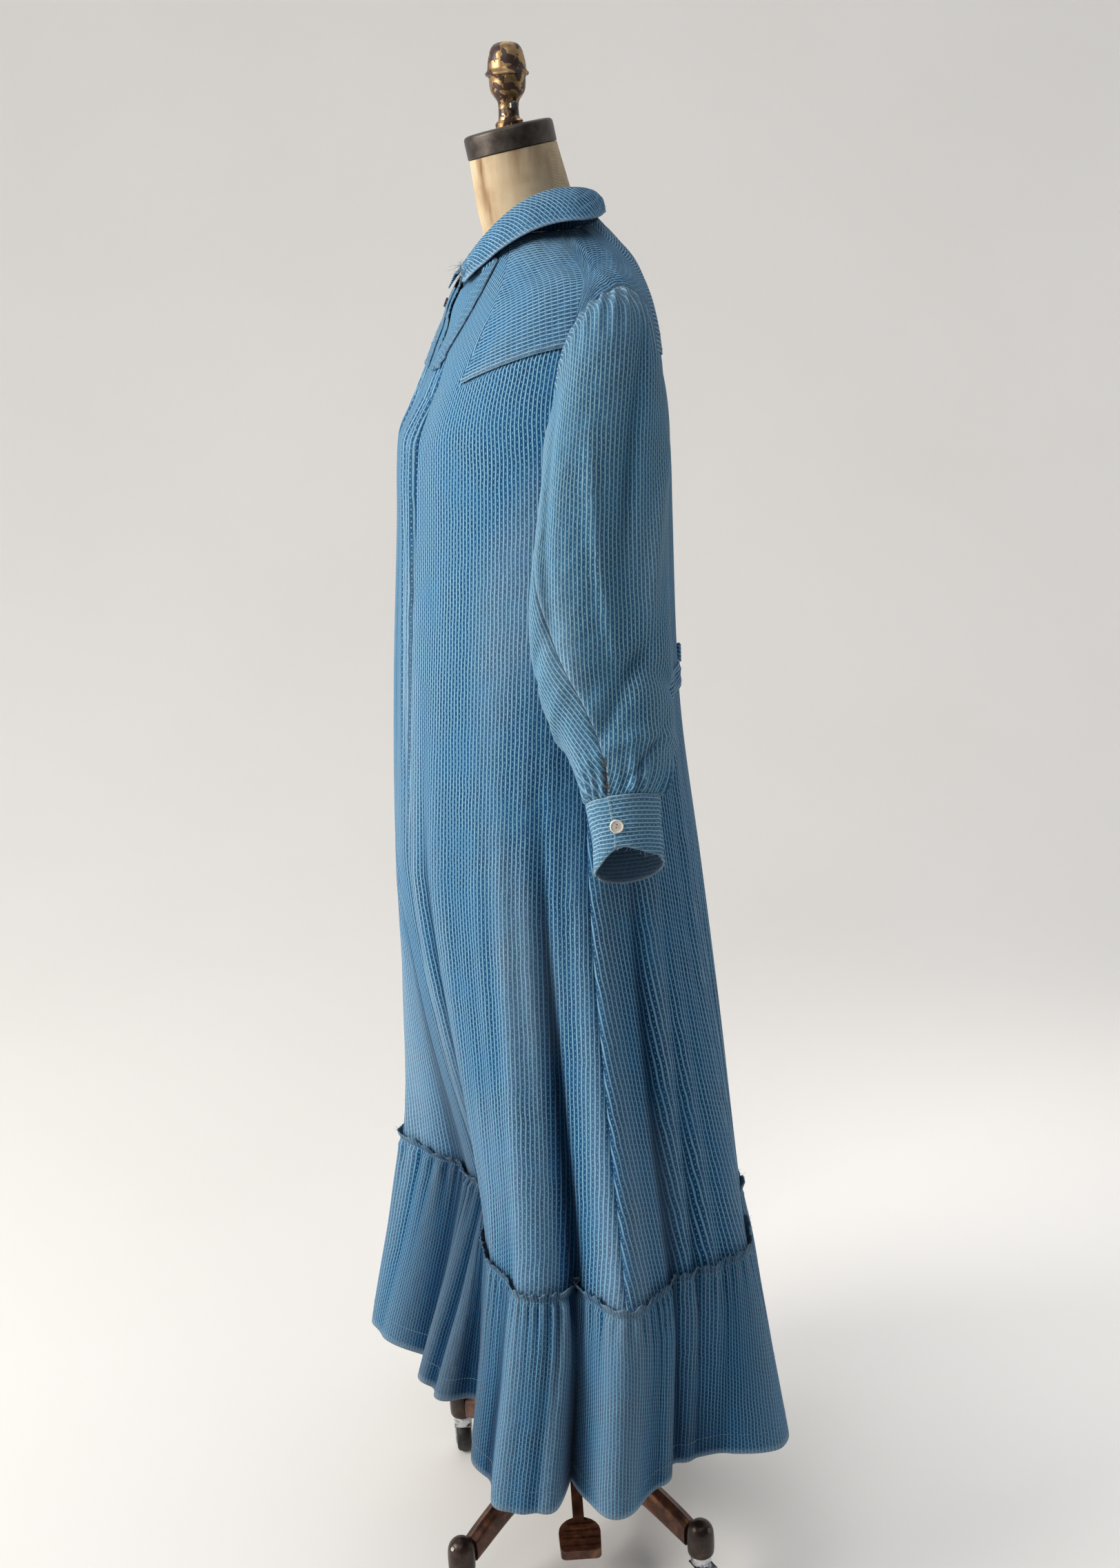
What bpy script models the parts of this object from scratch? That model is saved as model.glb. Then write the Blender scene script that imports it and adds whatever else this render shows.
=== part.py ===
"""Work dress of striped calico, standing on a dress form with a cast-iron caster base.

Metres, +Z up, origin on the floor under the middle of the whole part's outline. The
wearer's front faces -Y and the wearer's left is +X. Pieces are drawn about the stand's
column and moved into place together at the end. Every cloth piece is a thin wall: its
outer face is worked out on a grid of (row, column) points and its inner face lies one
cloth thickness inside.
"""
import bmesh
import bpy
import numpy as np
from math import cos, pi, radians, sin
from mathutils import Matrix, Vector

for old in list(bpy.data.objects):
    bpy.data.objects.remove(old, do_unlink=True)

COLUMN_AT = (0.0025, -0.0092, 0.0)           # the stand's column in the part's frame

# Cloth and clearances
CLOTH = 0.0012           # thickness of a single layer of calico, as a wall
CUFF_CLOTH = 0.0018      # cuffs, collar and plackets are two layers
SEAM = 0.0006            # gap between two pieces that are sewn together
TOUCH = 0.0004           # gap between a piece and what it lies on
SQUARE = 2.2             # exponent of the rings: 2 is an ellipse, more is squarer

# Heights that other pieces follow
SHOULDER_DROP = 0.114    # cloth length from the neck seam to the top of the armhole
ARM_MID_DROP = 0.194     # widest level of the armhole
UNDERARM_DROP = 0.318    # bottom of the armhole
SKIRT_DROP = 1.0675      # lower edge of the body panels
HEM_DROP = 1.315         # hem of the ruffle

# The dress's own rings, from the neck seam to the hem. drop is the cloth length below
# the neck seam; the others are the half width and the places of the ring's front,
# side and back points, with the height of each.
#        drop   half_w front_y side_y  back_y front_z side_z back_z
RINGS = np.array((
    (0.000, 0.066, -0.060, 0.012, 0.0765, 1.450, 1.500, 1.512),    # neck seam
    (0.060, 0.125, -0.078, 0.031, 0.107, 1.418, 1.4745, 1.472),    # middle of the yoke
    (0.125, 0.185, -0.100, 0.049, 0.118, 1.376, 1.444, 1.414),     # shoulder end
    (0.180, 0.200, -0.121, 0.046, 0.125, 1.330, 1.375, 1.347),     # upper chest
    (0.260, 0.200, -0.130, 0.038, 0.130, 1.285, 1.295, 1.290),     # chest
    (0.315, 0.198, -0.133, 0.029, 0.131, 1.240, 1.240, 1.240),     # underarm
    (0.495, 0.193, -0.148, 0.012, 0.1365, 1.060, 1.060, 1.060),    # waist
    (0.685, 0.212, -0.159, 0.005, 0.157, 0.870, 0.870, 0.870),     # hip
    (0.857, 0.240, -0.161, 0.006, 0.173, 0.700, 0.700, 0.700),     # thigh
    (1.070, 0.275, -0.1685, 0.010, 0.1935, 0.490, 0.485, 0.490),   # ruffle seam
    (1.315, 0.286, -0.228, 0.003, 0.2325, 0.247, 0.247, 0.247),    # hem
))

# Hang of the skirt: how far it stands out (+) or falls in (-) from its ring at each
# angle round the dress, from the front centre, left positive. A fold grows from its
# start down to the ruffle seam and changes on to the hem.
#    angle start at_seam at_hem
HANG = np.array((
    (-19, 0.74, 0.010, 0.002), (-14, 0.72, -0.018, -0.010), (-8, 0.70, -0.048, -0.052),
    (0, 0.68, -0.066, -0.062), (7, 0.66, -0.075, -0.056), (13, 0.66, -0.080, -0.062),
    (20, 0.66, -0.084, -0.100), (29, 0.66, -0.072, -0.100), (36, 0.66, -0.050, -0.082),
    (42, 0.66, -0.031, -0.058), (50, 0.66, -0.018, -0.036), (59, 0.64, -0.008, -0.017),
    (68, 0.58, -0.004, -0.004), (73, 0.50, -0.016, -0.016), (77, 0.46, -0.024, -0.050),
    (82, 0.50, -0.010, -0.026), (89, 0.62, 0.014, -0.006), (96, 0.62, 0.008, -0.018),
    (103, 0.60, 0.000, -0.036), (111, 0.60, -0.006, -0.045), (119, 0.62, 0.002, -0.040),
    (128, 0.70, 0.014, -0.010), (136, 0.74, 0.016, 0.022), (144, 0.70, 0.002, 0.012),
    (152, 0.56, -0.014, -0.012), (160, 0.60, -0.008, -0.006), (168, 0.60, -0.006, -0.002),
    (175, 0.56, -0.012, -0.008), (183, 0.56, -0.012, -0.010), (190, 0.60, -0.002, 0.006),
    (198, 0.58, -0.012, -0.008), (207, 0.62, 0.004, 0.014), (216, 0.66, 0.010, 0.020),
    (225, 0.66, 0.008, 0.018), (234, 0.60, -0.004, -0.006), (243, 0.60, -0.010, -0.018),
    (252, 0.62, 0.000, -0.004), (262, 0.62, 0.010, 0.008), (272, 0.60, 0.002, -0.002),
    (281, 0.52, -0.016, -0.022), (289, 0.60, -0.002, -0.004), (297, 0.64, 0.006, 0.004),
    (305, 0.62, -0.012, -0.018), (312, 0.62, -0.032, -0.046), (319, 0.62, -0.036, -0.044),
    (326, 0.66, -0.024, -0.026), (334, 0.72, -0.006, -0.004),
))
TUCKS = (9.0, 17.0, -9.0, -17.0)     # angles of the front tucks
TUCK_DEPTH = 0.005
TUCK_WIDTH = 2.6

# Lines that the panels are cut along, in degrees and drops
NECK_OPEN = 25.0         # half angle of the open neck at the neck seam
NECK_OPEN_DROP = 0.100   # where the open neck ends
YOKE_NECK = 67.0         # the yoke's front edge at the neck seam
YOKE_POINT = 38.0        # the yoke's front point
YOKE_POINT_DROP = 0.156
YOKE_ARM = 77.0          # where the yoke's front meets the armhole
YOKE_ARM_DROP = 0.157
YOKE_BACK = 125.0        # where the yoke's back meets the armhole
YOKE_BACK_DROP = 0.157
YOKE_CENTRE_DROP = 0.150
ARM_FRONT = 16.0         # reach of the armhole in front of and behind the side seam
ARM_BACK = 38.0
ARM_TOP = 101.0          # angle of the armhole's highest point

PANEL_ROWS = (0.156, 0.180, 0.210, 0.245, 0.282, 0.318, 0.385, 0.470,
              0.570, 0.690, 0.820, 0.945, SKIRT_DROP)
TIP_ROWS = (0.0, 0.039, 0.078, 0.117)      # the panel's strip beside the placket
TIP_COLUMNS = 7          # from the front centre to the yoke's point
SIDE_COLUMNS = 11        # from the yoke's point to the side seam
BACK_COLUMNS = 18        # from the side seam to the back centre
YOKE_ROWS = 4

# Ruffle: rows down from the frayed edge of its heading
#      drop above/below the seam, stand-off, wave height
RUFFLE_ROWS = (
    (-0.0115, 0.0068, 0.0022),
    (0.0020, 0.0012, 0.0006),
    (0.0420, 0.0050, 0.0040),
    (0.1300, 0.0050, 0.0080),
    (0.2475, 0.0040, 0.0120),
)
RUFFLE_WAVES = 26

# Sleeve sections from the shoulder down: the outer and the inner point in the X-Z
# plane, and the front and back limits in Y
#        out_x  out_z  in_x   in_z   front_y back_y
SLEEVE = np.array((
    (0.218, 1.437, 0.204, 1.222, -0.012, 0.093),
    (0.244, 1.394, 0.209, 1.190, -0.025, 0.088),
    (0.259, 1.327, 0.211, 1.150, -0.037, 0.083),
    (0.266, 1.240, 0.212, 1.105, -0.046, 0.082),
    (0.267, 1.160, 0.213, 1.060, -0.047, 0.083),
    (0.267, 1.090, 0.216, 1.022, -0.031, 0.083),
    (0.268, 1.040, 0.219, 0.998, -0.012, 0.078),
    (0.2685, 1.0145, 0.2215, 0.9875, -0.002, 0.0675),
))
CUFF = np.array((
    (0.2685, 1.0145, 0.2215, 0.9875, -0.002, 0.0675),
    (0.2690, 0.9850, 0.2230, 0.9490, 0.003, 0.0685),
    (0.2680, 0.9570, 0.2240, 0.9120, 0.005, 0.0700),
))
BUTTON_SHIFT = Vector((0.0, -0.0145, 0.0))
UNDER_SLEEVE = (10, 16)   # first and last column of the under-sleeve piece

# Collar rings, in the columns of RINGS without the drop
COLLAR_FOLD = (0.0670, -0.0600, 0.0380, 0.0745, 1.4680, 1.5355, 1.5285)
COLLAR_EDGE = (0.0960, -0.0690, 0.0420, 0.0800, 1.4490, 1.5085, 1.5180)
COLLAR_SLUMP = (315.0, 38.0, 0.006, 0.011)   # its right front: angle, width, back, down
COLLAR_OPEN = 14.0       # half angle of the collar's front gap
COLLAR_COLUMNS = 28
COLLAR_BUTTON = (-25.0, 0.044, 0.0033)       # angle, drop and height of the dark neck button

# Waist tie and its knot at the back
TIE_COLUMNS = (5, 32)    # first and last column of the back that it lies over
TIE_ROW = 7              # row of the back above it
TIE_SHARES = (0.0, 0.11, 0.22)       # its rows, between that row and the next
KNOT = (0.0, 0.1424, 1.0760)

# Dress form rings from the neck cap down: half width, front and back, height,
# rise towards the back per metre, and how much higher the shoulders are
#       half_w front_y back_y  height rise  shoulder
FORM = (
    (0.0415, -0.0428, 0.0405, 1.5738, 0.185, 0.000),    # under the neck cap
    (0.0435, -0.0380, 0.0510, 1.5350, 0.190, 0.000),
    (0.0475, -0.0325, 0.0620, 1.4970, 0.150, 0.000),
    (0.0590, -0.0420, 0.0690, 1.4680, 0.200, 0.008),    # root of the neck
    (0.1100, -0.0640, 0.0880, 1.4400, 0.170, 0.0345),
    (0.1520, -0.0840, 0.1000, 1.3950, 0.155, 0.0595),   # shoulder
    (0.1700, -0.1000, 0.1080, 1.3480, 0.000, 0.0350),
    (0.1640, -0.1160, 0.1080, 1.2800, 0.000, 0.0050),   # bust
    (0.1480, -0.1060, 0.1000, 1.2000, 0.000, 0.0000),
    (0.1220, -0.0820, 0.0820, 1.0900, 0.000, 0.0000),   # waist
    (0.1500, -0.0940, 0.1040, 1.0000, 0.000, 0.0000),
    (0.1700, -0.1040, 0.1260, 0.9000, 0.000, 0.0000),   # hip
    (0.1620, -0.0980, 0.1200, 0.8200, 0.000, 0.0000),
)
FORM_SIDES = 24
CAP_TILT = 10.5          # degrees that the neck cap leans to the front
CAP_RADIUS = 0.0430
CAP_HEIGHT = 0.0215
CAP_TOP = Vector((0.0, -0.0055, 1.5955))
FINIAL_SHIFT = 0.0020     # the finial stands this far behind the cap's centre

# Finial above the cap: height above the cap's top, radius
FINIAL = (
    (0.0004, 0.0000), (0.0004, 0.0130), (0.0040, 0.0132), (0.0058, 0.0104),
    (0.0090, 0.0097), (0.0220, 0.0100), (0.0262, 0.0134), (0.0325, 0.0166),
    (0.0430, 0.0172), (0.0445, 0.0204), (0.0470, 0.0202), (0.0510, 0.0182),
    (0.0605, 0.0168), (0.0680, 0.0146), (0.0720, 0.0112), (0.0736, 0.0060), (0.0736, 0.0000),
)

# Stand
STAND_TURN = -7.6       # direction of the pedal, in degrees from +X
TUBE = (0.0104, 0.0140, 0.2103, 0.6200)      # inner and outer radius, bottom, top
ROD = (0.0100, 0.2600, 0.8197)               # radius, bottom, top
LEG_REACH = 0.1925        # from the column to a caster
LEG_WIDTH = 0.020
# Leg from the hub out: distance from the column, lower edge, upper edge
LEG = (
    (0.0320, 0.0980, 0.1440), (0.0600, 0.0965, 0.1370), (0.0950, 0.0910, 0.1270),
    (0.1300, 0.0810, 0.1140), (0.1600, 0.0700, 0.1020), (0.1765, 0.0640, 0.0940),
)
# Hub profile: radius, height
HUB = ((0.0000, 0.0800), (0.0250, 0.0800), (0.0315, 0.0860), (0.0315, 0.1500),
       (0.0250, 0.1600), (0.0190, 0.1650), (0.0190, 0.2040), (0.0160, 0.2100), (0.0000, 0.2100))
# Caster socket: radius, height
SOCKET = ((0.0000, 0.0600), (0.0140, 0.0600), (0.0155, 0.0640), (0.0153, 0.0880),
          (0.0128, 0.0965), (0.0074, 0.1018), (0.0000, 0.1036))
CASTER_TURNS = (20.0, 75.0, 172.0, -10.0)     # way each wheel trails, from +X
WHEEL_RADIUS = 0.0207
WHEEL_WIDTH = 0.0180
WHEEL_SIDES = 16
TRAIL = 0.0100           # from the swivel's axis to the wheel's axle
AXLE_RADIUS = 0.0026
FORK_PLATE = 0.0016
FORK_TOP = 0.0462
PEDAL_PIVOT = (0.0362, 0.0880)               # distance from the column, height
PEDAL_TREAD = (0.0740, 0.1285, 0.0244)       # near end, far end, half width
PEDAL_HEIGHT = 0.0670
PEDAL_THICK = 0.0120


def finish(name, colour, roughness, metallic=0.0):
    """One plain material: sRGB hex colour turned to linear."""
    material = bpy.data.materials.new(name)
    material.use_nodes = True
    shader = material.node_tree.nodes["Principled BSDF"]
    part = [int(colour[i:i + 2], 16) / 255 for i in (1, 3, 5)]
    linear = [c / 12.92 if c < 0.04045 else ((c + 0.055) / 1.055) ** 2.4 for c in part]
    shader.inputs["Base Color"].default_value = (*linear, 1.0)
    shader.inputs["Roughness"].default_value = roughness
    shader.inputs["Metallic"].default_value = metallic
    return material


CALICO = finish("indigo calico", "#3F6C97", 0.85)
SHELL = finish("shell button", "#E9E4DC", 0.30)
HORN = finish("dark button", "#2B2A2E", 0.40)
CANVAS = finish("aged canvas", "#CDB890", 0.80)
CAP_METAL = finish("dulled steel", "#5E564F", 0.45, 0.8)
BRASS = finish("painted brass", "#8A6B3F", 0.40, 0.9)
STEEL = finish("zinc steel", "#B4B2AC", 0.35, 1.0)
IRON = finish("brown cast iron", "#6B4A3C", 0.60, 0.3)
CHROME = finish("chrome", "#C8C8C6", 0.15, 1.0)
RUBBER = finish("black rubber", "#26262A", 0.60)


def solid(name, points, faces, material, smooth=40):
    """A closed body from points and faces, with every face pointing out."""
    mesh = bpy.data.meshes.new(name)
    mesh.from_pydata([tuple(p) for p in points], [], [tuple(f) for f in faces])
    body = bmesh.new()
    body.from_mesh(mesh)
    bmesh.ops.triangulate(body, faces=[f for f in body.faces if len(f.verts) > 3])
    bmesh.ops.recalc_face_normals(body, faces=body.faces)
    body.to_mesh(mesh)
    body.free()
    mesh.materials.append(material)
    mesh.shade_smooth()
    mesh.set_sharp_from_angle(angle=radians(smooth))
    thing = bpy.data.objects.new(name, mesh)
    bpy.context.collection.objects.link(thing)
    return thing


def cell_corners(rows, columns, closed):
    """Corner numbers of every grid cell, row by row."""
    last = columns if closed else columns - 1
    r, c = np.meshgrid(np.arange(rows - 1), np.arange(last), indexing="ij")
    r, c = r.ravel(), c.ravel()
    right = (c + 1) % columns
    return np.stack((r * columns + c, r * columns + right,
                     (r + 1) * columns + right, (r + 1) * columns + c), axis=1)


def outward(points, cells, inside):
    """Unit normals at grid points, turned away from the points named inside."""
    corner = points[cells]
    across = np.cross(corner[:, 2] - corner[:, 0], corner[:, 3] - corner[:, 1])
    normal = np.zeros_like(points)
    for k in range(4):
        np.add.at(normal, cells[:, k], across)
    normal /= np.linalg.norm(normal, axis=1)[:, None] + 1e-12
    if np.sum(normal * (points - inside)) < 0:
        normal = -normal
    return normal


def under(grid, thickness=CLOTH, closed=False, inside=None):
    """The inner face below a grid of outer points."""
    rows, columns = grid.shape[:2]
    points = grid.reshape(-1, 3)
    if inside is None:
        inside = np.repeat(grid.mean(axis=1), columns, axis=0)
    normal = outward(points, cell_corners(rows, columns, closed), inside)
    return (points - normal * thickness).reshape(grid.shape)


def wall(name, grid, material, thickness=CLOTH, closed=False, keep=None, inside=None, lining=None):
    """A cloth wall under a grid of outer points. keep marks the cells that exist, and
    lining gives the inner face where it is already known."""
    rows, columns = grid.shape[:2]
    points = grid.reshape(-1, 3)
    cells = cell_corners(rows, columns, closed)
    if lining is None:
        lining = under(grid, thickness, closed, inside)
    inner = lining.reshape(-1, 3)
    if keep is not None:
        cells = cells[keep.ravel()]
    count = len(points)
    faces = [tuple(c) for c in cells] + [tuple(int(v) + count for v in c[::-1]) for c in cells]
    edges = {}
    for cell in cells:
        for a, b in zip(cell, np.roll(cell, -1)):
            edges.setdefault((min(a, b), max(a, b)), []).append((int(a), int(b)))
    for uses in edges.values():
        if len(uses) == 1:
            a, b = uses[0]
            faces.append((b, a, a + count, b + count))
    used = sorted({v for f in faces for v in f})
    number = {v: i for i, v in enumerate(used)}
    both = np.vstack((points, inner))[used]
    return solid(name, both, [[number[v] for v in f] for f in faces], material)


def along(table, drop):
    """Smooth curve through a table's rows, at any drop (cubic, no overshoot)."""
    x, y = table[:, 0], table[:, 1:]
    step = np.diff(x)
    slope = np.diff(y, axis=0) / step[:, None]
    tangent = np.vstack((slope[:1], (step[1:, None] * slope[:-1] + step[:-1, None] * slope[1:])
                         / (step[1:] + step[:-1])[:, None], slope[-1:]))
    drop = np.asarray(drop, float)
    k = np.clip(np.searchsorted(x, drop, side="right") - 1, 0, len(x) - 2)
    t = ((drop - x[k]) / step[k])[..., None]
    h = step[k][..., None]
    return ((2 * t ** 3 - 3 * t ** 2 + 1) * y[k] + (t ** 3 - 2 * t ** 2 + t) * h * tangent[k]
            + (3 * t ** 2 - 2 * t ** 3) * y[k + 1] + (t ** 3 - t ** 2) * h * tangent[k + 1])


def ring(sizes, angle):
    """Points of a ring at angles in degrees: a quarter super-ellipse to each side."""
    half_w, front_y, side_y, back_y, front_z, side_z, back_z = sizes
    c, s = np.cos(np.radians(angle)), np.sin(np.radians(angle))
    power = 2 / SQUARE
    x = half_w * np.sign(s) * abs(s) ** power
    y = side_y + np.where(c > 0, front_y - side_y, back_y - side_y) * abs(c) ** power
    z = side_z + np.where(c > 0, front_z - side_z, back_z - side_z) * c * c
    return np.stack((x, y, z), axis=-1)


def hang(angle, drop):
    """How far the skirt stands out (+) or falls in (-) at an angle and a drop."""
    turned = (np.asarray(angle, float) - HANG[0, 0]) % 360 + HANG[0, 0]
    table = np.vstack((HANG[-1:], HANG, HANG[:2]))
    table[0, 0] -= 360
    table[-2:, 0] += 360
    start, at_seam, at_hem = np.moveaxis(along(table, turned), -1, 0)
    growth = np.clip((drop - start) / (SKIRT_DROP - start), 0, 1)
    below = np.clip((drop - SKIRT_DROP) / (HEM_DROP - SKIRT_DROP), 0, 1)
    return at_seam * growth * (0.45 + 0.55 * growth) + (at_hem - at_seam) * below


def tuck_depth(angle, drop):
    """The shallow grooves of the front tucks, fading out below the waist."""
    turned = (np.asarray(angle, float) + 180) % 360 - 180
    fade = np.interp(drop, (0.10, 0.16, 0.50, 0.70), (0, 1, 1, 0))
    return sum(-TUCK_DEPTH * fade * np.exp(-((turned - t) / TUCK_WIDTH) ** 2) for t in TUCKS)


def torso(angle, drop, lift=0.0):
    """The dress's outer face at an angle (degrees) and a drop, moved out by lift."""
    angle, drop = np.broadcast_arrays(np.asarray(angle, float), np.asarray(drop, float))
    sizes = np.moveaxis(along(RINGS, drop), -1, 0)
    points = ring(sizes, angle)
    half_w, front_y, side_y, back_y = sizes[:4]
    c, s = np.cos(np.radians(angle)), np.sin(np.radians(angle))
    depth = np.where(c > 0, side_y - front_y, back_y - side_y)
    away = np.stack((s / half_w, -c / depth), axis=-1)
    away /= np.linalg.norm(away, axis=-1)[..., None]
    radial = points[..., :2] - np.stack((np.zeros_like(side_y), side_y), axis=-1)
    radial /= np.linalg.norm(radial, axis=-1)[..., None]
    points[..., :2] += radial * hang(angle, drop)[..., None]
    points[..., :2] += away * (tuck_depth(angle, drop) + lift)[..., None]
    return points


def off_torso(angle, drop, height):
    """Points at a height above the dress's outer face, along its normal."""
    angle, drop = np.broadcast_arrays(np.asarray(angle, float), np.asarray(drop, float))
    across = torso(angle + 0.3, drop) - torso(angle - 0.3, drop)
    down = torso(angle, drop + 0.002) - torso(angle, drop - 0.002)
    normal = np.cross(down, across)
    normal /= np.linalg.norm(normal, axis=-1)[..., None]
    return torso(angle, drop) + normal * height


def trim(grid, first_row=False, last_row=False, first_column=False, last_column=False, gap=SEAM):
    """Pull the named edges of a grid back by half a seam's gap."""
    grid = grid.copy()
    for wanted, edge, near in ((first_row, (0,), (1,)), (last_row, (-1,), (-2,)),
                               (first_column, (slice(None), 0), (slice(None), 1)),
                               (last_column, (slice(None), -1), (slice(None), -2))):
        if wanted:
            toward = grid[near] - grid[edge]
            toward /= np.linalg.norm(toward, axis=-1)[..., None]
            grid[edge] += toward * gap / 2
    return grid


def arm_reach(drop):
    """Share of the armhole's reach at a drop: 1 at its middle, 0 at top and bottom."""
    drop = np.asarray(drop, float)
    half = np.where(drop < ARM_MID_DROP, ARM_MID_DROP - SHOULDER_DROP, UNDERARM_DROP - ARM_MID_DROP)
    return np.sqrt(np.clip(1 - ((drop - ARM_MID_DROP) / half) ** 2, 0, 1))


def arm_edge(drop, reach):
    """Angle of the armhole's edge at a drop, in front (-reach) or behind (+reach)."""
    drop = np.asarray(drop, float)
    low = 90 + reach * arm_reach(drop)
    high = ARM_TOP + (90 + reach - ARM_TOP) * arm_reach(drop)
    return np.where(drop < ARM_MID_DROP, high, np.where(drop < UNDERARM_DROP, low, 90.0))


def yoke_edge(drop):
    """Angle of the yoke's front edge, from the neck seam to its point."""
    return YOKE_NECK + (YOKE_POINT - YOKE_NECK) * np.asarray(drop) / YOKE_POINT_DROP


def neck_edge(drop):
    """Angle of the front edge of a front panel."""
    return NECK_OPEN * np.clip(1 - np.asarray(drop) / NECK_OPEN_DROP, 0, 1)


def front_angles():
    """Angles and drops of the left front's grid."""
    drops = np.array(TIP_ROWS + PANEL_ROWS)
    tip = np.linspace(0, 1, TIP_COLUMNS + 1)
    side = np.linspace(0, 1, SIDE_COLUMNS + 1)[1:]
    start = neck_edge(drops)[:, None]
    turn = np.where(drops < YOKE_POINT_DROP, yoke_edge(drops), YOKE_POINT)[:, None]
    end = arm_edge(np.maximum(drops, YOKE_ARM_DROP), -ARM_FRONT)[:, None]
    end[len(TIP_ROWS)] = YOKE_ARM
    angles = np.hstack((start + (turn - start) * tip, turn + (end - turn) * side))
    level = np.repeat(drops[:, None], angles.shape[1], axis=1)
    level[len(TIP_ROWS), TIP_COLUMNS:] = np.linspace(YOKE_POINT_DROP, YOKE_ARM_DROP, SIDE_COLUMNS + 1)
    return angles, level


def trim_front(drawn):
    """Pull a front's grid back from the yoke, the side seam, the ruffle and the other front."""
    top = len(TIP_ROWS)
    grid = trim(drawn, first_row=True, last_row=True, first_column=True, last_column=True)
    step = drawn[top + 1, TIP_COLUMNS:] - drawn[top, TIP_COLUMNS:]
    step /= np.linalg.norm(step, axis=-1)[:, None]
    grid[top, TIP_COLUMNS:] += step * SEAM / 2
    back = drawn[:top + 1, TIP_COLUMNS - 1] - drawn[:top + 1, TIP_COLUMNS]
    back /= np.linalg.norm(back, axis=-1)[:, None]
    grid[:top + 1, TIP_COLUMNS] += back * SEAM / 2
    return grid


def front_cells():
    """Cells of a front: above the yoke's point only the strip beside the placket."""
    rows = len(TIP_ROWS) + len(PANEL_ROWS) - 1
    keep = np.ones((rows, TIP_COLUMNS + SIDE_COLUMNS), bool)
    keep[:len(TIP_ROWS), TIP_COLUMNS:] = False
    return keep


def make_fronts():
    angles, level = front_angles()
    for name, sign in (("front_left", 1), ("front_right", -1)):
        outer, lining = (trim_front(off_torso(sign * angles, level, -depth)) for depth in (0, CLOTH))
        wall(name, outer, CALICO, keep=front_cells(), lining=lining)


def back_angles():
    """Angles and drops of the back's grid, from the left side seam to the right."""
    drops = np.array(PANEL_ROWS)
    start = arm_edge(np.maximum(drops, YOKE_BACK_DROP), ARM_BACK)
    start[0] = YOKE_BACK
    share = np.linspace(0, 1, BACK_COLUMNS + 1)
    left = start[:, None] + (180 - start[:, None]) * share
    angles = np.hstack((left, 360 - left[:, -2::-1]))
    level = np.repeat(drops[:, None], angles.shape[1], axis=1)
    rise = np.concatenate((share, share[-2::-1]))
    level[0] = YOKE_BACK_DROP + (YOKE_CENTRE_DROP - YOKE_BACK_DROP) * rise
    return angles, level


def make_back():
    """The back. Its upper edge runs straight between the yoke's columns."""
    edges = dict(first_row=True, last_row=True, first_column=True, last_column=True)
    drawn = [off_torso(*back_angles(), -depth) for depth in (0, CLOTH)]
    for grid in drawn:
        grid[0, 1::2] = (grid[0, :-1:2] + grid[0, 2::2]) / 2
    outer, lining = (trim(grid, **edges) for grid in drawn)
    wall("back", outer, CALICO, lining=lining)


def yoke_columns():
    """Angles of the yoke's lower edge on the left, and its drops."""
    front = np.linspace(YOKE_POINT, YOKE_ARM, SIDE_COLUMNS + 1)
    top = np.concatenate((np.linspace(YOKE_ARM, ARM_TOP, 5)[1:],
                          np.linspace(ARM_TOP, YOKE_BACK, 5)[1:]))
    back = np.linspace(YOKE_BACK, 180, BACK_COLUMNS // 2 + 1)[1:]
    half = ARM_MID_DROP - SHOULDER_DROP
    ahead, behind = ARM_TOP + ARM_FRONT - 90, 90 + ARM_BACK - ARM_TOP
    reach = np.where(top < ARM_TOP, (ARM_TOP - top) / ahead, (top - ARM_TOP) / behind)
    arm_drop = ARM_MID_DROP - half * np.sqrt(1 - reach ** 2)
    drops = np.concatenate((np.linspace(YOKE_POINT_DROP, YOKE_ARM_DROP, SIDE_COLUMNS + 1), arm_drop,
                            np.linspace(YOKE_BACK_DROP, YOKE_CENTRE_DROP, BACK_COLUMNS // 2 + 1)[1:]))
    return np.concatenate((front, top, back)), drops


def yoke_grid(depth):
    """The yoke's points at a depth below the dress's outer face."""
    low, drops = yoke_columns()
    high = YOKE_NECK + (low - YOKE_POINT) * (180 - YOKE_NECK) / (180 - YOKE_POINT)
    low = np.concatenate((low, 360 - low[-2::-1]))
    high = np.concatenate((high, 360 - high[-2::-1]))
    drops = np.concatenate((drops, drops[-2::-1]))
    share = np.linspace(0, 1, YOKE_ROWS + 1)[:, None]
    top = TIP_ROWS[0]
    return off_torso(high + (low - high) * share, top + (drops - top) * share, -depth)


def make_yoke():
    edges = dict(last_row=True, first_column=True, last_column=True)
    outer, lining = (trim(yoke_grid(depth), **edges) for depth in (0, CLOTH))
    wall("yoke", outer, CALICO, lining=lining)


def armhole():
    """Edge of the left armhole: over the yoke, down the back, up the front."""
    low, drops = yoke_columns()
    over = (low >= YOKE_ARM - 1e-6) & (low <= YOKE_BACK + 1e-6)
    top = torso(low[over], drops[over])
    below = np.array([d for d in PANEL_ROWS if YOKE_BACK_DROP < d <= UNDERARM_DROP])
    back = torso(arm_edge(below, ARM_BACK), below)
    front = torso(arm_edge(below[:-1], -ARM_FRONT), below[:-1])[::-1]
    return np.vstack((top, back, front))


def section(row, turn):
    """Points of a sleeve or cuff section; turn 0 is its outer point, 90 its back."""
    out_x, out_z, in_x, in_z, front_y, back_y = row
    centre = np.array(((out_x + in_x) / 2, (front_y + back_y) / 2, (out_z + in_z) / 2))
    tall = np.array(((out_x - in_x) / 2, 0, (out_z - in_z) / 2))
    wide = np.array((0, (back_y - front_y) / 2, 0))
    c, s = np.cos(np.radians(turn))[:, None], np.sin(np.radians(turn))[:, None]
    return centre + tall * c + wide * s


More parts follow.
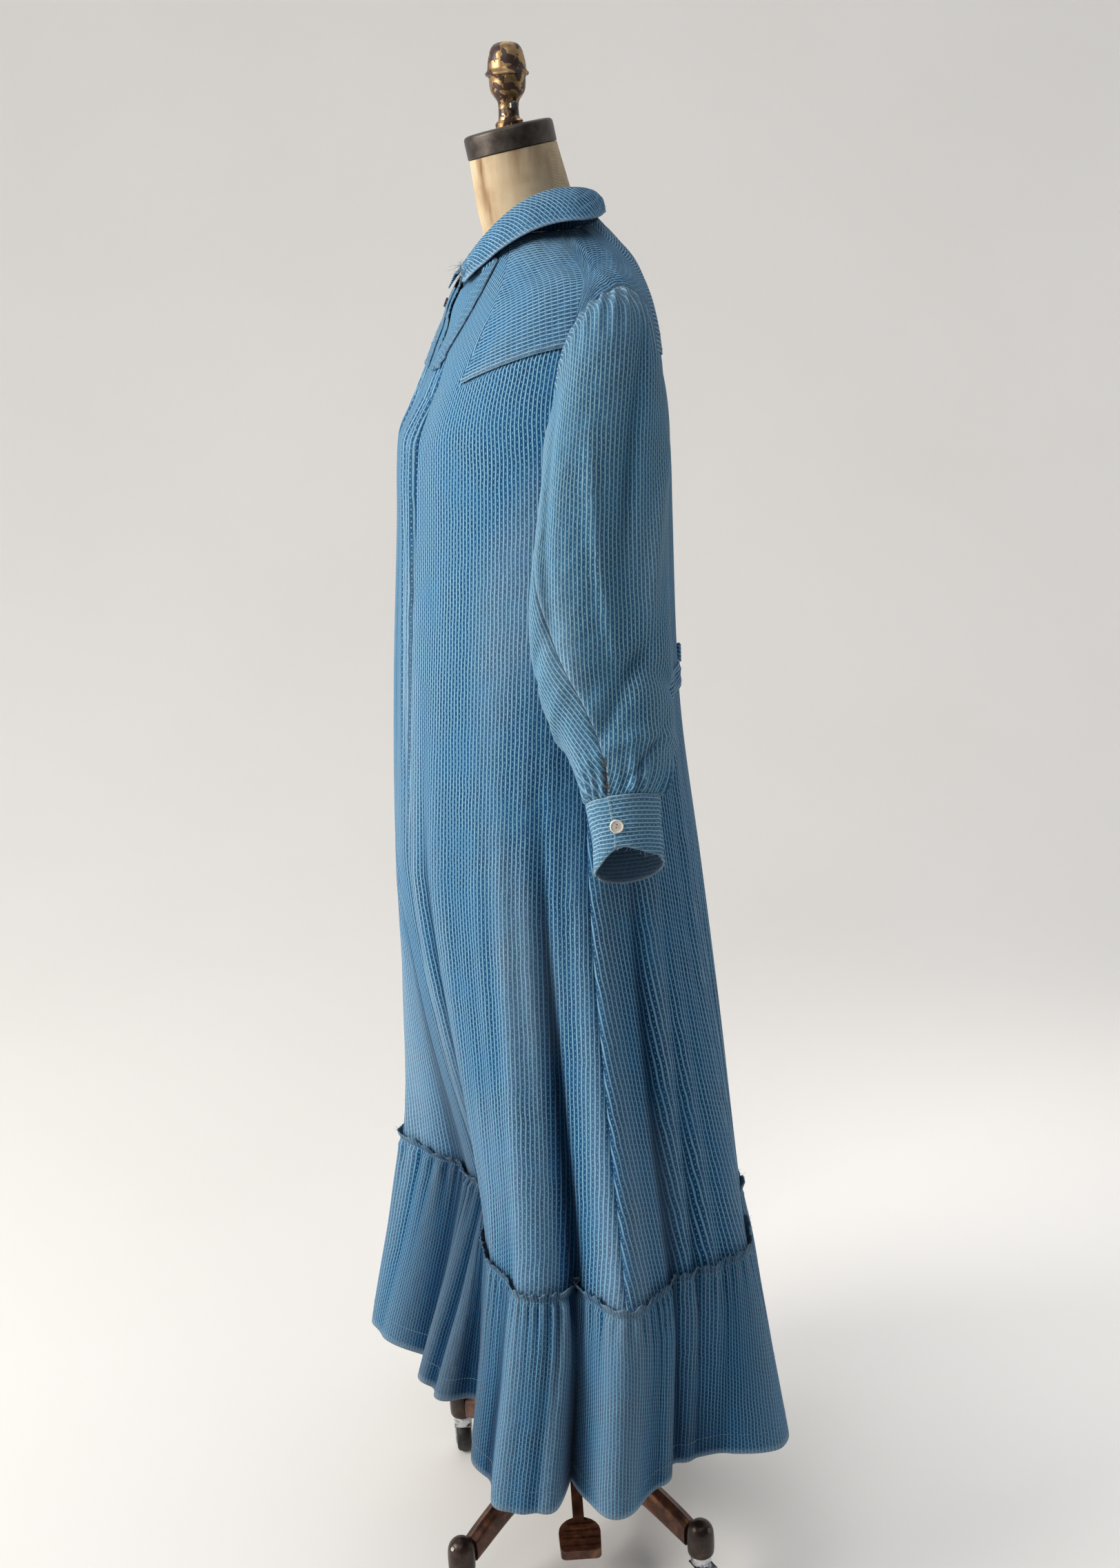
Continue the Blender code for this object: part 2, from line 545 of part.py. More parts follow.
def sleeve_grid():
    edge = armhole()
    middle = edge.mean(axis=0)
    reach = np.ptp(edge, axis=0) / 2
    turn = np.degrees(np.arctan2((edge[:, 1] - middle[1]) / reach[1], (edge[:, 2] - middle[2]) / reach[2]))
    turn = np.degrees(np.unwrap(np.radians(turn)))
    even = turn[0] + np.arange(len(turn)) * 360 / len(turn)
    inward = middle - edge
    inward /= np.linalg.norm(inward, axis=1)[:, None]
    behind = np.clip((edge[:, 1:2] - middle[1]) / reach[1], 0, 1)
    rows = [edge + inward * (0.0007 + 0.0005 * behind) + (SEAM, 0, 0)]
    for k, row in enumerate(SLEEVE):
        blend = min((k + 1) / 3, 1)
        rows.append(section(row, turn + (even - turn) * blend))
    return np.array(rows), even


def make_sleeve(side, flip):
    grid, even = sleeve_grid()
    lining = under(grid, closed=True)
    first, last = UNDER_SLEEVE
    below = list(range(first, last + 1))
    above = [i % grid.shape[1] for i in range(last, first + grid.shape[1] + 1)]
    edges = dict(last_row=True, first_column=True, last_column=True, gap=SEAM * 2.2)
    for piece, columns in (("under", below), ("upper", above)):
        wall(f"sleeve_{side}_{piece}", trim(grid[:, columns], **edges) * (flip, 1, 1), CALICO,
             lining=trim(lining[:, columns], **edges) * (flip, 1, 1))
    cuff = np.array([section(row, even) for row in CUFF])
    cuff[0] += (cuff[1] - cuff[0]) * 0.008
    wall(f"cuff_{side}", cuff * (flip, 1, 1), CALICO, CUFF_CLOTH, closed=True)


def collar_ring(sizes, turn, share=1.0):
    """A collar ring with its right front fallen back and down."""
    centre, width, back, down = COLLAR_SLUMP
    amount = share * np.exp(-((turn - centre) / width) ** 2)[:, None]
    return ring(sizes, turn) + amount * (0.0, back, -down)


def make_collar():
    """Stand round the neck and the fall turned down over it, both open in front."""
    turn = np.linspace(COLLAR_OPEN, 360 - COLLAR_OPEN, COLLAR_COLUMNS + 1)
    neck = ring(RINGS[0, 1:], turn)
    fold = collar_ring(COLLAR_FOLD, turn)
    stand = neck + (fold - neck) * np.array((0.035, 0.5, 1.0))[:, None, None]
    wall("collar_stand", stand, CALICO, CUFF_CLOTH)
    edge = collar_ring(COLLAR_EDGE, turn, 0.1)
    away = (fold - (0, 0.01, 0)) * (1, 1, 0)
    away /= np.linalg.norm(away, axis=1)[:, None]
    start = fold + away * (CUFF_CLOTH + TOUCH * 3) + (0, 0, 0.0006)
    over = start + (edge - start) * 0.45 + (0, 0, 0.0035)
    wall("collar_fall", np.array((start, over, edge)), CALICO, CUFF_CLOTH)


def make_placket(name, flip, width_top, width_low):
    """Strip along an edge of the open neck, lying on the front."""
    drops = np.linspace(0.020, 0.118, 6)[:, None]
    inner = np.maximum(neck_edge(drops), 0) + np.where(flip > 0, 1.2, 4.0)
    width = np.interp(drops, (0.020, 0.118), (width_top, width_low))
    angles = inner + width * np.linspace(0, 1, 5)
    low = 0.0011
    wall(name, off_torso(flip * angles, drops, low + CUFF_CLOTH), CALICO,
         lining=off_torso(flip * angles, drops, low))


def ruffle_grid():
    """Rows of the ruffle. Its heading follows the body's lower edge column by column."""
    front_level = front_angles()
    back_level = back_angles()
    turns = np.concatenate((front_level[0][-1, :-1], back_level[0][-1, :-1],
                            360 - front_level[0][-1, :0:-1]))
    edge = torso(turns, SKIRT_DROP)
    above = torso(turns, PANEL_ROWS[-2])
    fine = np.arange(0, len(turns), 0.5)
    low, part = fine.astype(int), (fine % 1)[:, None]
    nxt = (low + 1) % len(turns)
    edge = edge[low] * (1 - part) + edge[nxt] * part
    above = above[low] * (1 - part) + above[nxt] * part
    wide = np.append(turns, 360.0)
    angle = np.interp(fine, np.arange(len(turns) + 1), wide)
    before, after = np.roll(edge, 1, axis=0), np.roll(edge, -1, axis=0)
    away = np.cross(after - before, (0, 0, 1))
    away /= np.linalg.norm(away, axis=1)[:, None]
    count = np.arange(len(fine)) / len(fine) * 2 * pi
    wave = 0.5 + 0.5 * np.sin(RUFFLE_WAVES * count + 1.3 * np.sin(3 * count) + 0.7 * np.sin(5 * count))
    uneven = 0.75 + 0.25 * np.sin(4 * count + 1.0)
    rows = []
    slope = (above - edge) / (SKIRT_DROP - PANEL_ROWS[-2])
    for below, stand, height in RUFFLE_ROWS:
        out = stand + height * wave * uneven
        if below < 0.01:
            rows.append(edge - slope * below + away * out[:, None])
        else:
            rows.append(torso(angle, SKIRT_DROP + below, out - height / 2))
    return np.array(rows)


def make_ruffle():
    wall("ruffle", ruffle_grid(), CALICO, closed=True)


def make_tie():
    """Waist tie over the back, and its knot with two loops and two hanging ends."""
    columns = slice(*TIE_COLUMNS)
    share = np.array(TIE_SHARES)[:, None, None]
    heights = (TOUCH + CLOTH, TOUCH)
    upper = [off_torso(*(g[TIE_ROW, columns] for g in back_angles()), h) for h in heights]
    lower = [off_torso(*(g[TIE_ROW + 1, columns] for g in back_angles()), h) for h in heights]
    outer, lining = (u + (v - u) * share for u, v in zip(upper, lower))
    wall("tie", outer, CALICO, lining=lining)
    x, y, z = KNOT
    half = [(0.0, 0.0), (0.55, 0.10), (0.95, 0.30), (1.0, 0.55), (0.8, 0.85), (0.0, 1.0)]
    lathe("tie_knot", [(0.0090 * r, 0.0092 * (h - 0.5)) for r, h in half], CALICO, 12,
          Matrix.Translation((x, y, z)) @ Matrix.Rotation(radians(-90), 4, "X"))
    for side, flip in (("left", 1), ("right", -1)):
        turn = np.radians(np.arange(16) * 22.5)
        out = 0.0098 + 0.0235 * (1 - np.cos(turn)) / 2
        loop = np.stack((flip * out, y + 0.0005 + 0.0036 * np.sin(turn), z + 0.35 * (out - 0.0098)), axis=-1)
        rows = np.array([loop + (0, 0, h) for h in (-0.0085, 0.0, 0.0085)])
        wall(f"tie_loop_{side}", rows, CALICO, 0.0011, closed=True)
        down = np.linspace(0, 1, 5)
        middle = np.stack((flip * (0.0045 + 0.012 * down), y + 0.0004 - 0.0012 * down,
                           z - 0.0096 - 0.034 * down), axis=-1)
        across = np.array([middle + (w, 0.0, 0.0) for w in (-0.0035, 0.0035)])
        wall(f"tie_end_{side}", across, CALICO, inside=across.reshape(-1, 3) - (0, 0.05, 0))


def lathe(name, profile, material, sides, place=None, smooth=40, phase=0.0):
    """A turned solid. profile lists radius and height; radius 0 closes an end."""
    angles = (np.arange(sides) + phase) * 2 * pi / sides
    points, loops = [], []
    for radius, height in profile:
        if radius < 1e-9:
            loops.append([len(points)])
            points.append((0.0, 0.0, height))
        else:
            loops.append(list(range(len(points), len(points) + sides)))
            points += [(radius * cos(a), radius * sin(a), height) for a in angles]
    if len(loops[0]) > 1:
        loops.append(loops[0])
    faces = []
    for low, high in zip(loops[:-1], loops[1:]):
        for i in range(sides):
            j = (i + 1) % sides
            if len(low) == 1:
                faces.append((low[0], high[i], high[j]))
            elif len(high) == 1:
                faces.append((low[i], low[j], high[0]))
            else:
                faces.append((low[i], low[j], high[j], high[i]))
    thing = solid(name, points, faces, material, smooth)
    if place is not None:
        thing.data.transform(place)
    return thing


def loft(name, rings, material, smooth=40):
    """A solid through rings of equal count, with both ends closed."""
    sides = len(rings[0])
    points = [tuple(p) for one in rings for p in one]
    faces = []
    for k in range(len(rings) - 1):
        for i in range(sides):
            j = (i + 1) % sides
            faces.append((k * sides + i, k * sides + j, (k + 1) * sides + j, (k + 1) * sides + i))
    faces.append(tuple(range(sides)))
    faces.append(tuple((len(rings) - 1) * sides + i for i in range(sides)))
    return solid(name, points, faces, material, smooth)


def make_form():
    angle = np.arange(FORM_SIDES) * 2 * pi / FORM_SIDES
    rings = []
    for half_w, front_y, back_y, height, rise, shoulder in FORM:
        mid, deep = (front_y + back_y) / 2, (back_y - front_y) / 2
        x = half_w * np.sin(angle)
        y = mid - deep * np.cos(angle)
        z = height + rise * (y - mid) + shoulder * np.sin(angle) ** 2
        rings.append(np.stack((x, y, z), axis=1))
    loft("form_body", rings, CANVAS)
    lean = Matrix.Rotation(radians(CAP_TILT), 4, "X")
    seat = Matrix.Translation(CAP_TOP) @ lean
    lathe("neck_cap", [(0.0, -CAP_HEIGHT), (CAP_RADIUS, -CAP_HEIGHT), (CAP_RADIUS, -0.0035),
                       (CAP_RADIUS - 0.0030, -0.0006), (CAP_RADIUS - 0.009, 0.0), (0.0, 0.0)],
          CAP_METAL, FORM_SIDES, seat)
    turned = []
    sides = 14
    for height, radius in FINIAL[1:-1]:
        tilt = radians(CAP_TILT) * max(0.0, 1 - height / 0.012)
        centre = CAP_TOP + Vector((0, FINIAL_SHIFT, height + FINIAL_SHIFT * sin(radians(CAP_TILT))))
        turned.append([tuple(centre + Vector((radius * cos(a), radius * sin(a) * cos(tilt),
                                              radius * sin(a) * sin(tilt))))
                       for a in np.arange(sides) * 2 * pi / sides])
    loft("finial", turned, BRASS)
    bolt = Matrix.Translation(CAP_TOP + Vector((0.0, FINIAL_SHIFT, 0.0178))) \
        @ Matrix.Rotation(radians(15), 4, "Z") @ Matrix.Rotation(radians(90), 4, "Y") \
        @ Matrix.Translation((0, 0, 0.0105))
    lathe("finial_bolt", [(0.0, 0.0), (0.0044, 0.0), (0.0044, 0.0030), (0.0034, 0.0036),
                          (0.0, 0.0036)], STEEL, 6, bolt, smooth=20)
    rod_radius, rod_low, rod_high = ROD
    lathe("column_rod", [(0.0, rod_low), (rod_radius, rod_low), (rod_radius, rod_high),
                         (0.0, rod_high)], STEEL, 16)


def stand_place(degrees, reach=0.0):
    """Placement for a piece drawn along +X, turned about the column."""
    return Matrix.Rotation(radians(STAND_TURN + degrees), 4, "Z") @ Matrix.Translation((reach, 0, 0))


def make_leg(number, degrees):
    rings = []
    half = LEG_WIDTH / 2
    for reach, low, high in LEG:
        edge = 0.004
        rings.append([(reach, -half + edge, low), (reach, half - edge, low), (reach, half, low + edge),
                      (reach, half, high - edge), (reach, 0.0, high + 0.001),
                      (reach, -half, high - edge), (reach, -half, low + edge)])
    leg = loft(f"leg_{number}", rings, IRON, smooth=25)
    leg.data.transform(stand_place(degrees))


def box(size, centre):
    """Points and faces of a block, for joining with others."""
    body = bmesh.new()
    bmesh.ops.create_cube(body, size=1.0, matrix=Matrix.Translation(centre) @ Matrix.Diagonal((*size, 1)))
    mesh = bpy.data.meshes.new("block")
    body.to_mesh(mesh)
    body.free()
    thing = bpy.data.objects.new("block", mesh)
    bpy.context.collection.objects.link(thing)
    return thing


def join_solids(main, others, name):
    """Unite solids with Boolean modifiers and apply them."""
    for other in others:
        cut = main.modifiers.new("join", "BOOLEAN")
        cut.operation = "UNION"
        cut.solver = "EXACT"
        cut.object = other
    bpy.context.view_layer.update()
    mesh = bpy.data.meshes.new_from_object(main.evaluated_get(bpy.context.evaluated_depsgraph_get()))
    main.modifiers.clear()
    main.data = mesh
    main.name = name
    mesh.name = name
    for other in others:
        bpy.data.objects.remove(other, do_unlink=True)
    return main


def make_caster(number, degrees):
    """Socket on the leg's end, swivelling chrome fork, axle and wheel."""
    at_leg = stand_place(degrees, LEG_REACH)
    lathe(f"socket_{number}", SOCKET, IRON, 14, at_leg)
    turn = at_leg @ Matrix.Rotation(radians(CASTER_TURNS[number - 1] - STAND_TURN - degrees), 4, "Z")
    plate_y = WHEEL_WIDTH / 2 + 0.0004 + FORK_PLATE / 2
    hood = box((0.026, 2 * plate_y + FORK_PLATE, FORK_PLATE), (TRAIL / 2 - 0.002, 0, FORK_TOP - FORK_PLATE / 2))
    sides = [box((0.016, FORK_PLATE, FORK_TOP - 0.012), (TRAIL - 0.001, s * plate_y, (FORK_TOP + 0.012) / 2))
             for s in (-1, 1)]
    collar = lathe("collar", [(0.0, FORK_TOP - 0.001), (0.0100, FORK_TOP - 0.001),
                              (0.0116, 0.0500), (0.0116, 0.0560), (0.0100, 0.0596), (0.0, 0.0596)],
                   CHROME, 14)
    axle = lathe("pin", [(0.0, -plate_y), (AXLE_RADIUS, -plate_y), (AXLE_RADIUS, plate_y), (0.0, plate_y)],
                 CHROME, 10, Matrix.Translation((TRAIL, 0, WHEEL_RADIUS * cos(pi / WHEEL_SIDES)))
                 @ Matrix.Rotation(radians(90), 4, "X"))
    fork = join_solids(hood, sides + [collar, axle], f"fork_{number}")
    fork.data.materials.clear()
    fork.data.materials.append(CHROME)
    fork.data.transform(turn)
    half, edge, bore = WHEEL_WIDTH / 2, 0.0030, AXLE_RADIUS + 0.0004
    profile = [(bore, -half), (WHEEL_RADIUS - edge, -half), (WHEEL_RADIUS, -half + edge),
               (WHEEL_RADIUS, half - edge), (WHEEL_RADIUS - edge, half), (bore, half)]
    lathe(f"wheel_{number}", profile, RUBBER, WHEEL_SIDES,
          turn @ Matrix.Translation((TRAIL, 0, WHEEL_RADIUS * cos(pi / WHEEL_SIDES)))
          @ Matrix.Rotation(radians(90), 4, "X"), phase=0.5)


def make_pedal():
    """Foot pedal: an arm from the hub and a ribbed tread, round towards the hub."""
    near, far, half = PEDAL_TREAD
    arch = [(near + 0.024 - 0.024 * sin(a), half * cos(a)) for a in np.linspace(0.0, pi, 11)]
    corner = [(far - 0.006 + 0.006 * cos(a), -half + 0.007 + 0.006 * sin(a))
              for a in np.linspace(-pi / 2, 0.0, 4)]
    outline = arch + corner + [(x, -y) for x, y in corner[::-1]]
    low = [(x, y, PEDAL_HEIGHT - PEDAL_THICK) for x, y in outline]
    high = [(x, y, PEDAL_HEIGHT) for x, y in outline]
    tread = loft("tread", [low, high], IRON, smooth=25)
    root, wide = 0.0318, 0.0065
    arm = loft("arm", [[(root + 0.0012, -wide, 0.0840), (root + 0.0012, wide, 0.0840),
                        (root, wide, 0.0960), (root, -wide, 0.0960)],
                       [(near + 0.010, -wide, PEDAL_HEIGHT - 0.0100), (near + 0.010, wide, PEDAL_HEIGHT - 0.0100),
                        (near + 0.010, wide, PEDAL_HEIGHT + 0.0008), (near + 0.010, -wide, PEDAL_HEIGHT + 0.0008)]],
               IRON, smooth=25)
    ribs = [box((0.0032, half * wider, 0.0036), (near + 0.0105 + 0.0115 * k, 0, PEDAL_HEIGHT + 0.0010))
            for k, wider in enumerate((1.15, 1.55, 1.62, 1.62))]
    pedal = join_solids(tread, [arm] + ribs, "pedal")
    pedal.data.materials.clear()
    pedal.data.materials.append(IRON)
    pedal.data.transform(stand_place(0.0))


def make_stand():
    lathe("hub", HUB, IRON, 20)
    inner, outer, low, high = TUBE
    lathe("column_tube", [(inner, low), (outer, low), (outer, high), (inner, high)], STEEL, 16)
    for number, degrees in enumerate((45, 135, 225, 315), 1):
        make_leg(number, degrees)
        make_caster(number, degrees)
    make_pedal()


def make_button(name, centre, axis, radius, material):
    """Round button with a raised rim, facing along axis."""
    turn = Vector((0, 0, 1)).rotation_difference(Vector(axis)).to_matrix().to_4x4()
    profile = [(0.0, 0.0), (radius * 0.85, 0.0), (radius, 0.0009), (radius * 0.92, 0.0021),
               (radius * 0.62, 0.0017), (0.0, 0.0017)]
    lathe(name, profile, material, 16, Matrix.Translation(centre) @ turn)


def make_buttons():
    out_x, out_z, in_x, in_z, front_y, back_y = CUFF[1]
    middle_y = (front_y + back_y) / 2
    for side, flip in (("left", 1), ("right", -1)):
        tilt = Vector((flip * 0.97, -0.10, 0.12)).normalized()
        place = Vector((flip * out_x, middle_y, out_z)) + tilt * -0.0009 + BUTTON_SHIFT
        make_button(f"cuff_button_{side}", place, tilt, 0.0066, SHELL)
    angle, drop, height = COLLAR_BUTTON
    low, high = (Vector(off_torso(angle, drop, h)) for h in (height, height + 0.01))
    make_button("neck_button", low, high - low, 0.0050, HORN)


make_fronts()
make_back()
make_yoke()
for name, sign in (("left", 1), ("right", -1)):
    make_sleeve(name, sign)
make_collar()
make_placket("placket_left", 1, 22.0, 15.0)
make_placket("placket_right", -1, 18.0, 11.0)
make_ruffle()
make_tie()
make_buttons()
make_form()
make_stand()
for thing in bpy.data.objects:
    thing.data.transform(Matrix.Translation(COLUMN_AT))
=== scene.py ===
# Work dress of printed indigo calico on a dress form with an iron caster base.
# The wearer's front faces -Y and the wearer's left is +X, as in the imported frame.
from math import cos, pi, radians, sin

import bmesh
import bpy
import numpy as np
from mathutils import Matrix, Vector


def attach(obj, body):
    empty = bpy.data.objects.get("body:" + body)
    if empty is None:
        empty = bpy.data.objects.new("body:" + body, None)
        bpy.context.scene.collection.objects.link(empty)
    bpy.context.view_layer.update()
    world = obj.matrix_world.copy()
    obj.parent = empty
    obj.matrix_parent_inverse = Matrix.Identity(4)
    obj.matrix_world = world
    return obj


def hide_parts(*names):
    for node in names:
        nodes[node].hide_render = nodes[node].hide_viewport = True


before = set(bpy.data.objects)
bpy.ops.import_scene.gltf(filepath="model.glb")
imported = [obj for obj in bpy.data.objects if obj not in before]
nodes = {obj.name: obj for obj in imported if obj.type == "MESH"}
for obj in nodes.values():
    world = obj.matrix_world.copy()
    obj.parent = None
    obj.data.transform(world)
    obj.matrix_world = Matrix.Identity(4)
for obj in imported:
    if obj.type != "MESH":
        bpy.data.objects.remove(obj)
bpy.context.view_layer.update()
columnAt = np.array((0.0025, -0.0092, 0.0))  # the stand's column in the frame

print("stage: camera, floor and light")

view = dict(azimuth=80.0, pitch=17.5, roll=-2.42, side=0.018, distance=1.70, height=1.481, lens=38.68,
            sensor=36.0)


def makeCamera():
    # the camera looks along the azimuth, tipped down by pitch and turned about its own axis by roll
    turn, tip, roll = radians(view["azimuth"]), radians(view["pitch"]), radians(view["roll"])
    side = Vector((cos(turn), sin(turn), 0))
    back = Vector((sin(turn), -cos(turn), 0))
    ahead = -back * cos(tip) - Vector((0, 0, 1)) * sin(tip)
    up = -back * sin(tip) + Vector((0, 0, 1)) * cos(tip)
    right = side * cos(roll) + up * sin(roll)
    top = -side * sin(roll) + up * cos(roll)
    data = bpy.data.cameras.new("photoView")
    data.lens, data.sensor_width = view["lens"], view["sensor"]
    camera = bpy.data.objects.new("photoView", data)
    place = Matrix((right, top, -ahead)).transposed().to_4x4()
    place.translation = (Vector(columnAt) + side * view["side"] + back * view["distance"]
                         + Vector((0, 0, view["height"])))
    camera.matrix_world = place
    bpy.context.collection.objects.link(camera)
    bpy.context.scene.camera = camera


def toLinear(code):
    # sRGB hex to linear: a small share over 12.92, any other (share + 0.055) / 1.055 to the power 2.4
    share = np.array([int(code[i:i + 2], 16) / 255 for i in (1, 3, 5)])
    return tuple(np.where(share < 0.04045, share / 12.92, ((share + 0.055) / 1.055) ** 2.4)) + (1.0,)


def addNode(tree, kind, *inputs, out=0, named=None, **settings):
    # adds one shader node: inputs fill its sockets in order, named by name, settings its own choices
    node = tree.nodes.new("ShaderNode" + kind)
    for name, value in settings.items():
        setattr(node, name, value)
    wanted = list(enumerate(inputs)) + list((named or {}).items())
    for socket, value in wanted:
        if isinstance(value, bpy.types.NodeSocket):
            tree.links.new(value, node.inputs[socket])
        elif value is not None:
            node.inputs[socket].default_value = value
    return node.outputs[out] if len(node.outputs) else node


def newMaterial(name, roughness, metallic=0.0, **sockets):
    # a Principled material whose plain numbers sit on its own sockets
    material = bpy.data.materials.new(name)
    material.use_nodes = True
    tree = material.node_tree
    shader = tree.nodes["Principled BSDF"]
    shader.inputs["Roughness"].default_value = roughness
    shader.inputs["Metallic"].default_value = metallic
    for socket, value in sockets.items():
        shader.inputs[socket.replace("_", " ")].default_value = value
    return material, tree, shader


def mixColours(tree, factor, under, over, blend="MIX"):
    # the factor's share of one colour over another; each is a socket or a hex code
    low, high = (toLinear(tone) if isinstance(tone, str) else tone for tone in (under, over))
    return addNode(tree, "Mix", out=2, data_type="RGBA", blend_type=blend,
                   named={"Factor": factor, 6: low, 7: high})


# Arrays and meshes


def joined(*parts):
    # arrays stretched to one shape, then joined as the coordinates of points
    return np.stack(np.broadcast_arrays(*parts), axis=-1)


def unit(vectors, least=0.0):
    # vectors divided by their lengths; least keeps an empty one from dividing by 0
    return vectors / (np.linalg.norm(vectors, axis=-1)[..., None] + least)


def running(points, axis=0):
    # length along one axis of a grid from its first point: 0, then the running sum of its steps
    steps = np.linalg.norm(np.diff(points, axis=axis), axis=-1)
    return np.concatenate((np.zeros_like(steps.take([0], axis)), np.cumsum(steps, axis)), axis)


def between(at, run, values):
    # values read at places along a run, straight from one row to the next
    return np.stack([np.interp(at, run, column) for column in values.T], axis=-1)


def bell(x, at, width):
    # 1 at a place, falling off to both sides: e to minus the square of distance over width
    return np.exp(-((x - at) / width) ** 2)


def smoothStep(low, high, x):
    # 0 below low, 1 above high, and the cubic 3t^2 - 2t^3 between
    t = np.clip((x - low) / (high - low), 0, 1)
    return t * t * (3 - 2 * t)


def gridFaces(rows, columns, closed=False, keep=None):
    # corner numbers of a grid's cells, row by row; closed joins the last column to the first
    r, c = np.meshgrid(np.arange(rows - 1), np.arange(columns if closed else columns - 1), indexing="ij")
    low, high, right = r * columns, (r + 1) * columns, (c + 1) % columns
    quads = np.stack((low + c, low + right, high + right, high + c), -1)
    return quads[keep] if keep is not None else quads.reshape(-1, 4)


def gridNormals(points, closed=False):
    # unit normals of a grid from the cross product of its two slopes
    down = np.gradient(points, axis=0)
    if closed:
        across = (np.roll(points, -1, axis=1) - np.roll(points, 1, axis=1)) / 2
    else:
        across = np.gradient(points, axis=1)
    return unit(np.cross(down, across), 1e-12)


def meshFrom(name, points, faces, material, uv=None, values=None):
    # a smooth mesh object from points and quads, with uv per corner and named values per point
    mesh = bpy.data.meshes.new(name)
    used = np.unique(faces)
    number = np.zeros(len(points), int)
    number[used] = np.arange(len(used))
    mesh.from_pydata(points[used].tolist(), [], number[faces].tolist())
    if uv is not None:
        layer = mesh.uv_layers.new(name="cloth")
        layer.data.foreach_set("uv", uv[faces].astype(np.float32).ravel())
    for key, value in (values or {}).items():
        attribute = mesh.attributes.new(key, "FLOAT", "POINT")
        attribute.data.foreach_set("value", np.asarray(value, np.float32).ravel()[used])
    mesh.polygons.foreach_set("use_smooth", np.full(len(mesh.polygons), True))
    mesh.materials.append(material)
    thing = bpy.data.objects.new(name, mesh)
    bpy.context.collection.objects.link(thing)
    return thing


def weld(thing, distance, outward=False):
    # points closer than the distance become one; outward turns every face to the outside
    mesh = bmesh.new()
    mesh.from_mesh(thing.data)
    bmesh.ops.remove_doubles(mesh, verts=mesh.verts, dist=distance)
    if outward:
        bmesh.ops.recalc_face_normals(mesh, faces=mesh.faces)
    mesh.to_mesh(thing.data)
    mesh.free()


def finishPiece(thing, stands=(), body="dress_form"):
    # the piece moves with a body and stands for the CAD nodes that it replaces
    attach(thing, body)
    if stands:
        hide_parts(*stands)
    return thing


# Painted shade in the valleys of a sheet and a painted highlight on its ridges, in metres: how far to
# both sides it is compared, the depth that counts for flat cloth, so that flat cloth gets a little
# painted shade, a full valley, and a full ridge; then the painted highlight on a full ridge
relief = dict(reach=0.032, flat=0.0007, valley=0.0065, ridge=0.006, ridgeHighlight=0.12)


def valleyDepth(points, faces, closed):
    # how far each point lies under the mean of its row to both sides, along the outward normal
    spacing = np.linalg.norm(np.diff(points, axis=1), axis=-1).mean()
    reach = int(np.clip(relief["reach"] / spacing, 2, points.shape[1] // 3))
    if closed:
        before, after = points[:, -1 - reach:-1], points[:, 1:1 + reach]
    else:
        before = 2 * points[:, :1] - points[:, reach:0:-1]
        after = 2 * points[:, -1:] - points[:, -2:-2 - reach:-1]
    total = np.concatenate((points[:, :1] * 0, before, points, after), axis=1).cumsum(axis=1)
    mean = (total[:, 2 * reach + 1:] - total[:, :-2 * reach - 1]) / (2 * reach + 1)
    normal = gridNormals(points)
    corner = points.reshape(-1, 3)[faces[:, :3]]
    facing = np.cross(corner[:, 1] - corner[:, 0], corner[:, 2] - corner[:, 0])
    sign = np.sign(np.sum(facing * normal.reshape(-1, 3)[faces[:, 0]]))
    return np.sum((mean - points) * normal, axis=-1) * sign + relief["flat"]


def clothPiece(name, points, uv, material, stands=(), thick=0.0011, closed=False, keep=None, worn=0.0,
               outward=1, offset=-1, fullness=1.0, shade=0.0):
    # a cloth wall: the grid is its outer face, and Solidify gives it its thickness inwards, or to
    # both sides at offset 0. uv is in metres: x across the stripes, y along them
    if closed:
        # the first column comes again at the end, so that the pattern doesn't run backwards there
        points = np.concatenate((points, points[:, :1]), axis=1)
    faces = gridFaces(*points.shape[:2], keep=keep)
    if outward < 0:
        faces = faces[:, ::-1]
    depth = valleyDepth(points, faces, closed)
    # the wear takes on a painted highlight on ridges, and valley is painted shade in the valleys and wherever
    # shade is given
    worn = np.broadcast_to(worn, points.shape[:2]) + relief["ridgeHighlight"] * np.clip(-depth / relief["ridge"], 0, 1)
    values = {"worn": worn, "valley": np.clip(smoothStep(0.0, relief["valley"], depth) + shade, 0, 1)}
    thing = meshFrom(name, points.reshape(-1, 3) + columnAt, faces, material, uv.reshape(-1, 2), values)
    # the inner faces take the reverse, which carries painted shade
    thing.data.materials.append(calicoReverseShaded)
    if closed:
        weld(thing, 1e-6)
    wall = thing.modifiers.new("wall", "SOLIDIFY")
    wall.thickness, wall.offset, wall.use_rim, wall.material_offset = thick, offset, True, 1
    finishPiece(thing, stands)
    # its cut: widest and longest way over the piece
    wide = running(points, 1)[:, -1].max() * fullness
    long = running(points, 0)[-1].max()


def turnUv(uv, degrees):
    # the print turned by an angle: x cos - y sin, x sin + y cos
    c, s = cos(radians(degrees)), sin(radians(degrees))
    return joined(uv[..., 0] * c - uv[..., 1] * s, uv[..., 0] * s + uv[..., 1] * c)


def arcUv(points, acrossFrom=0, downFrom=0, closed=False):
    # lengths along the rows from one column and down the columns from one row
    if closed:
        points = np.concatenate((points, points[:, :1]), axis=1)
    across, down = running(points, 1), running(points, 0)
    return np.stack((across - across[:, acrossFrom][:, None], down - down[downFrom][None]), axis=-1)


def hang(angle, drop, seed, low, high, drift=3.0, count=14):
    # long folds round the body: whole numbers of waves a turn, each leaning a little as it drops
    chance = np.random.default_rng(seed)
    total = np.zeros(np.broadcast(angle, drop).shape)
    for waves, lean, phase in zip(chance.integers(low, high, count), chance.uniform(-drift, drift, count),
                                  chance.uniform(0, 2 * pi, count)):
        total += np.sin(np.radians(angle) * waves + lean * drop + phase)
    return total / np.sqrt(count) / 1.4


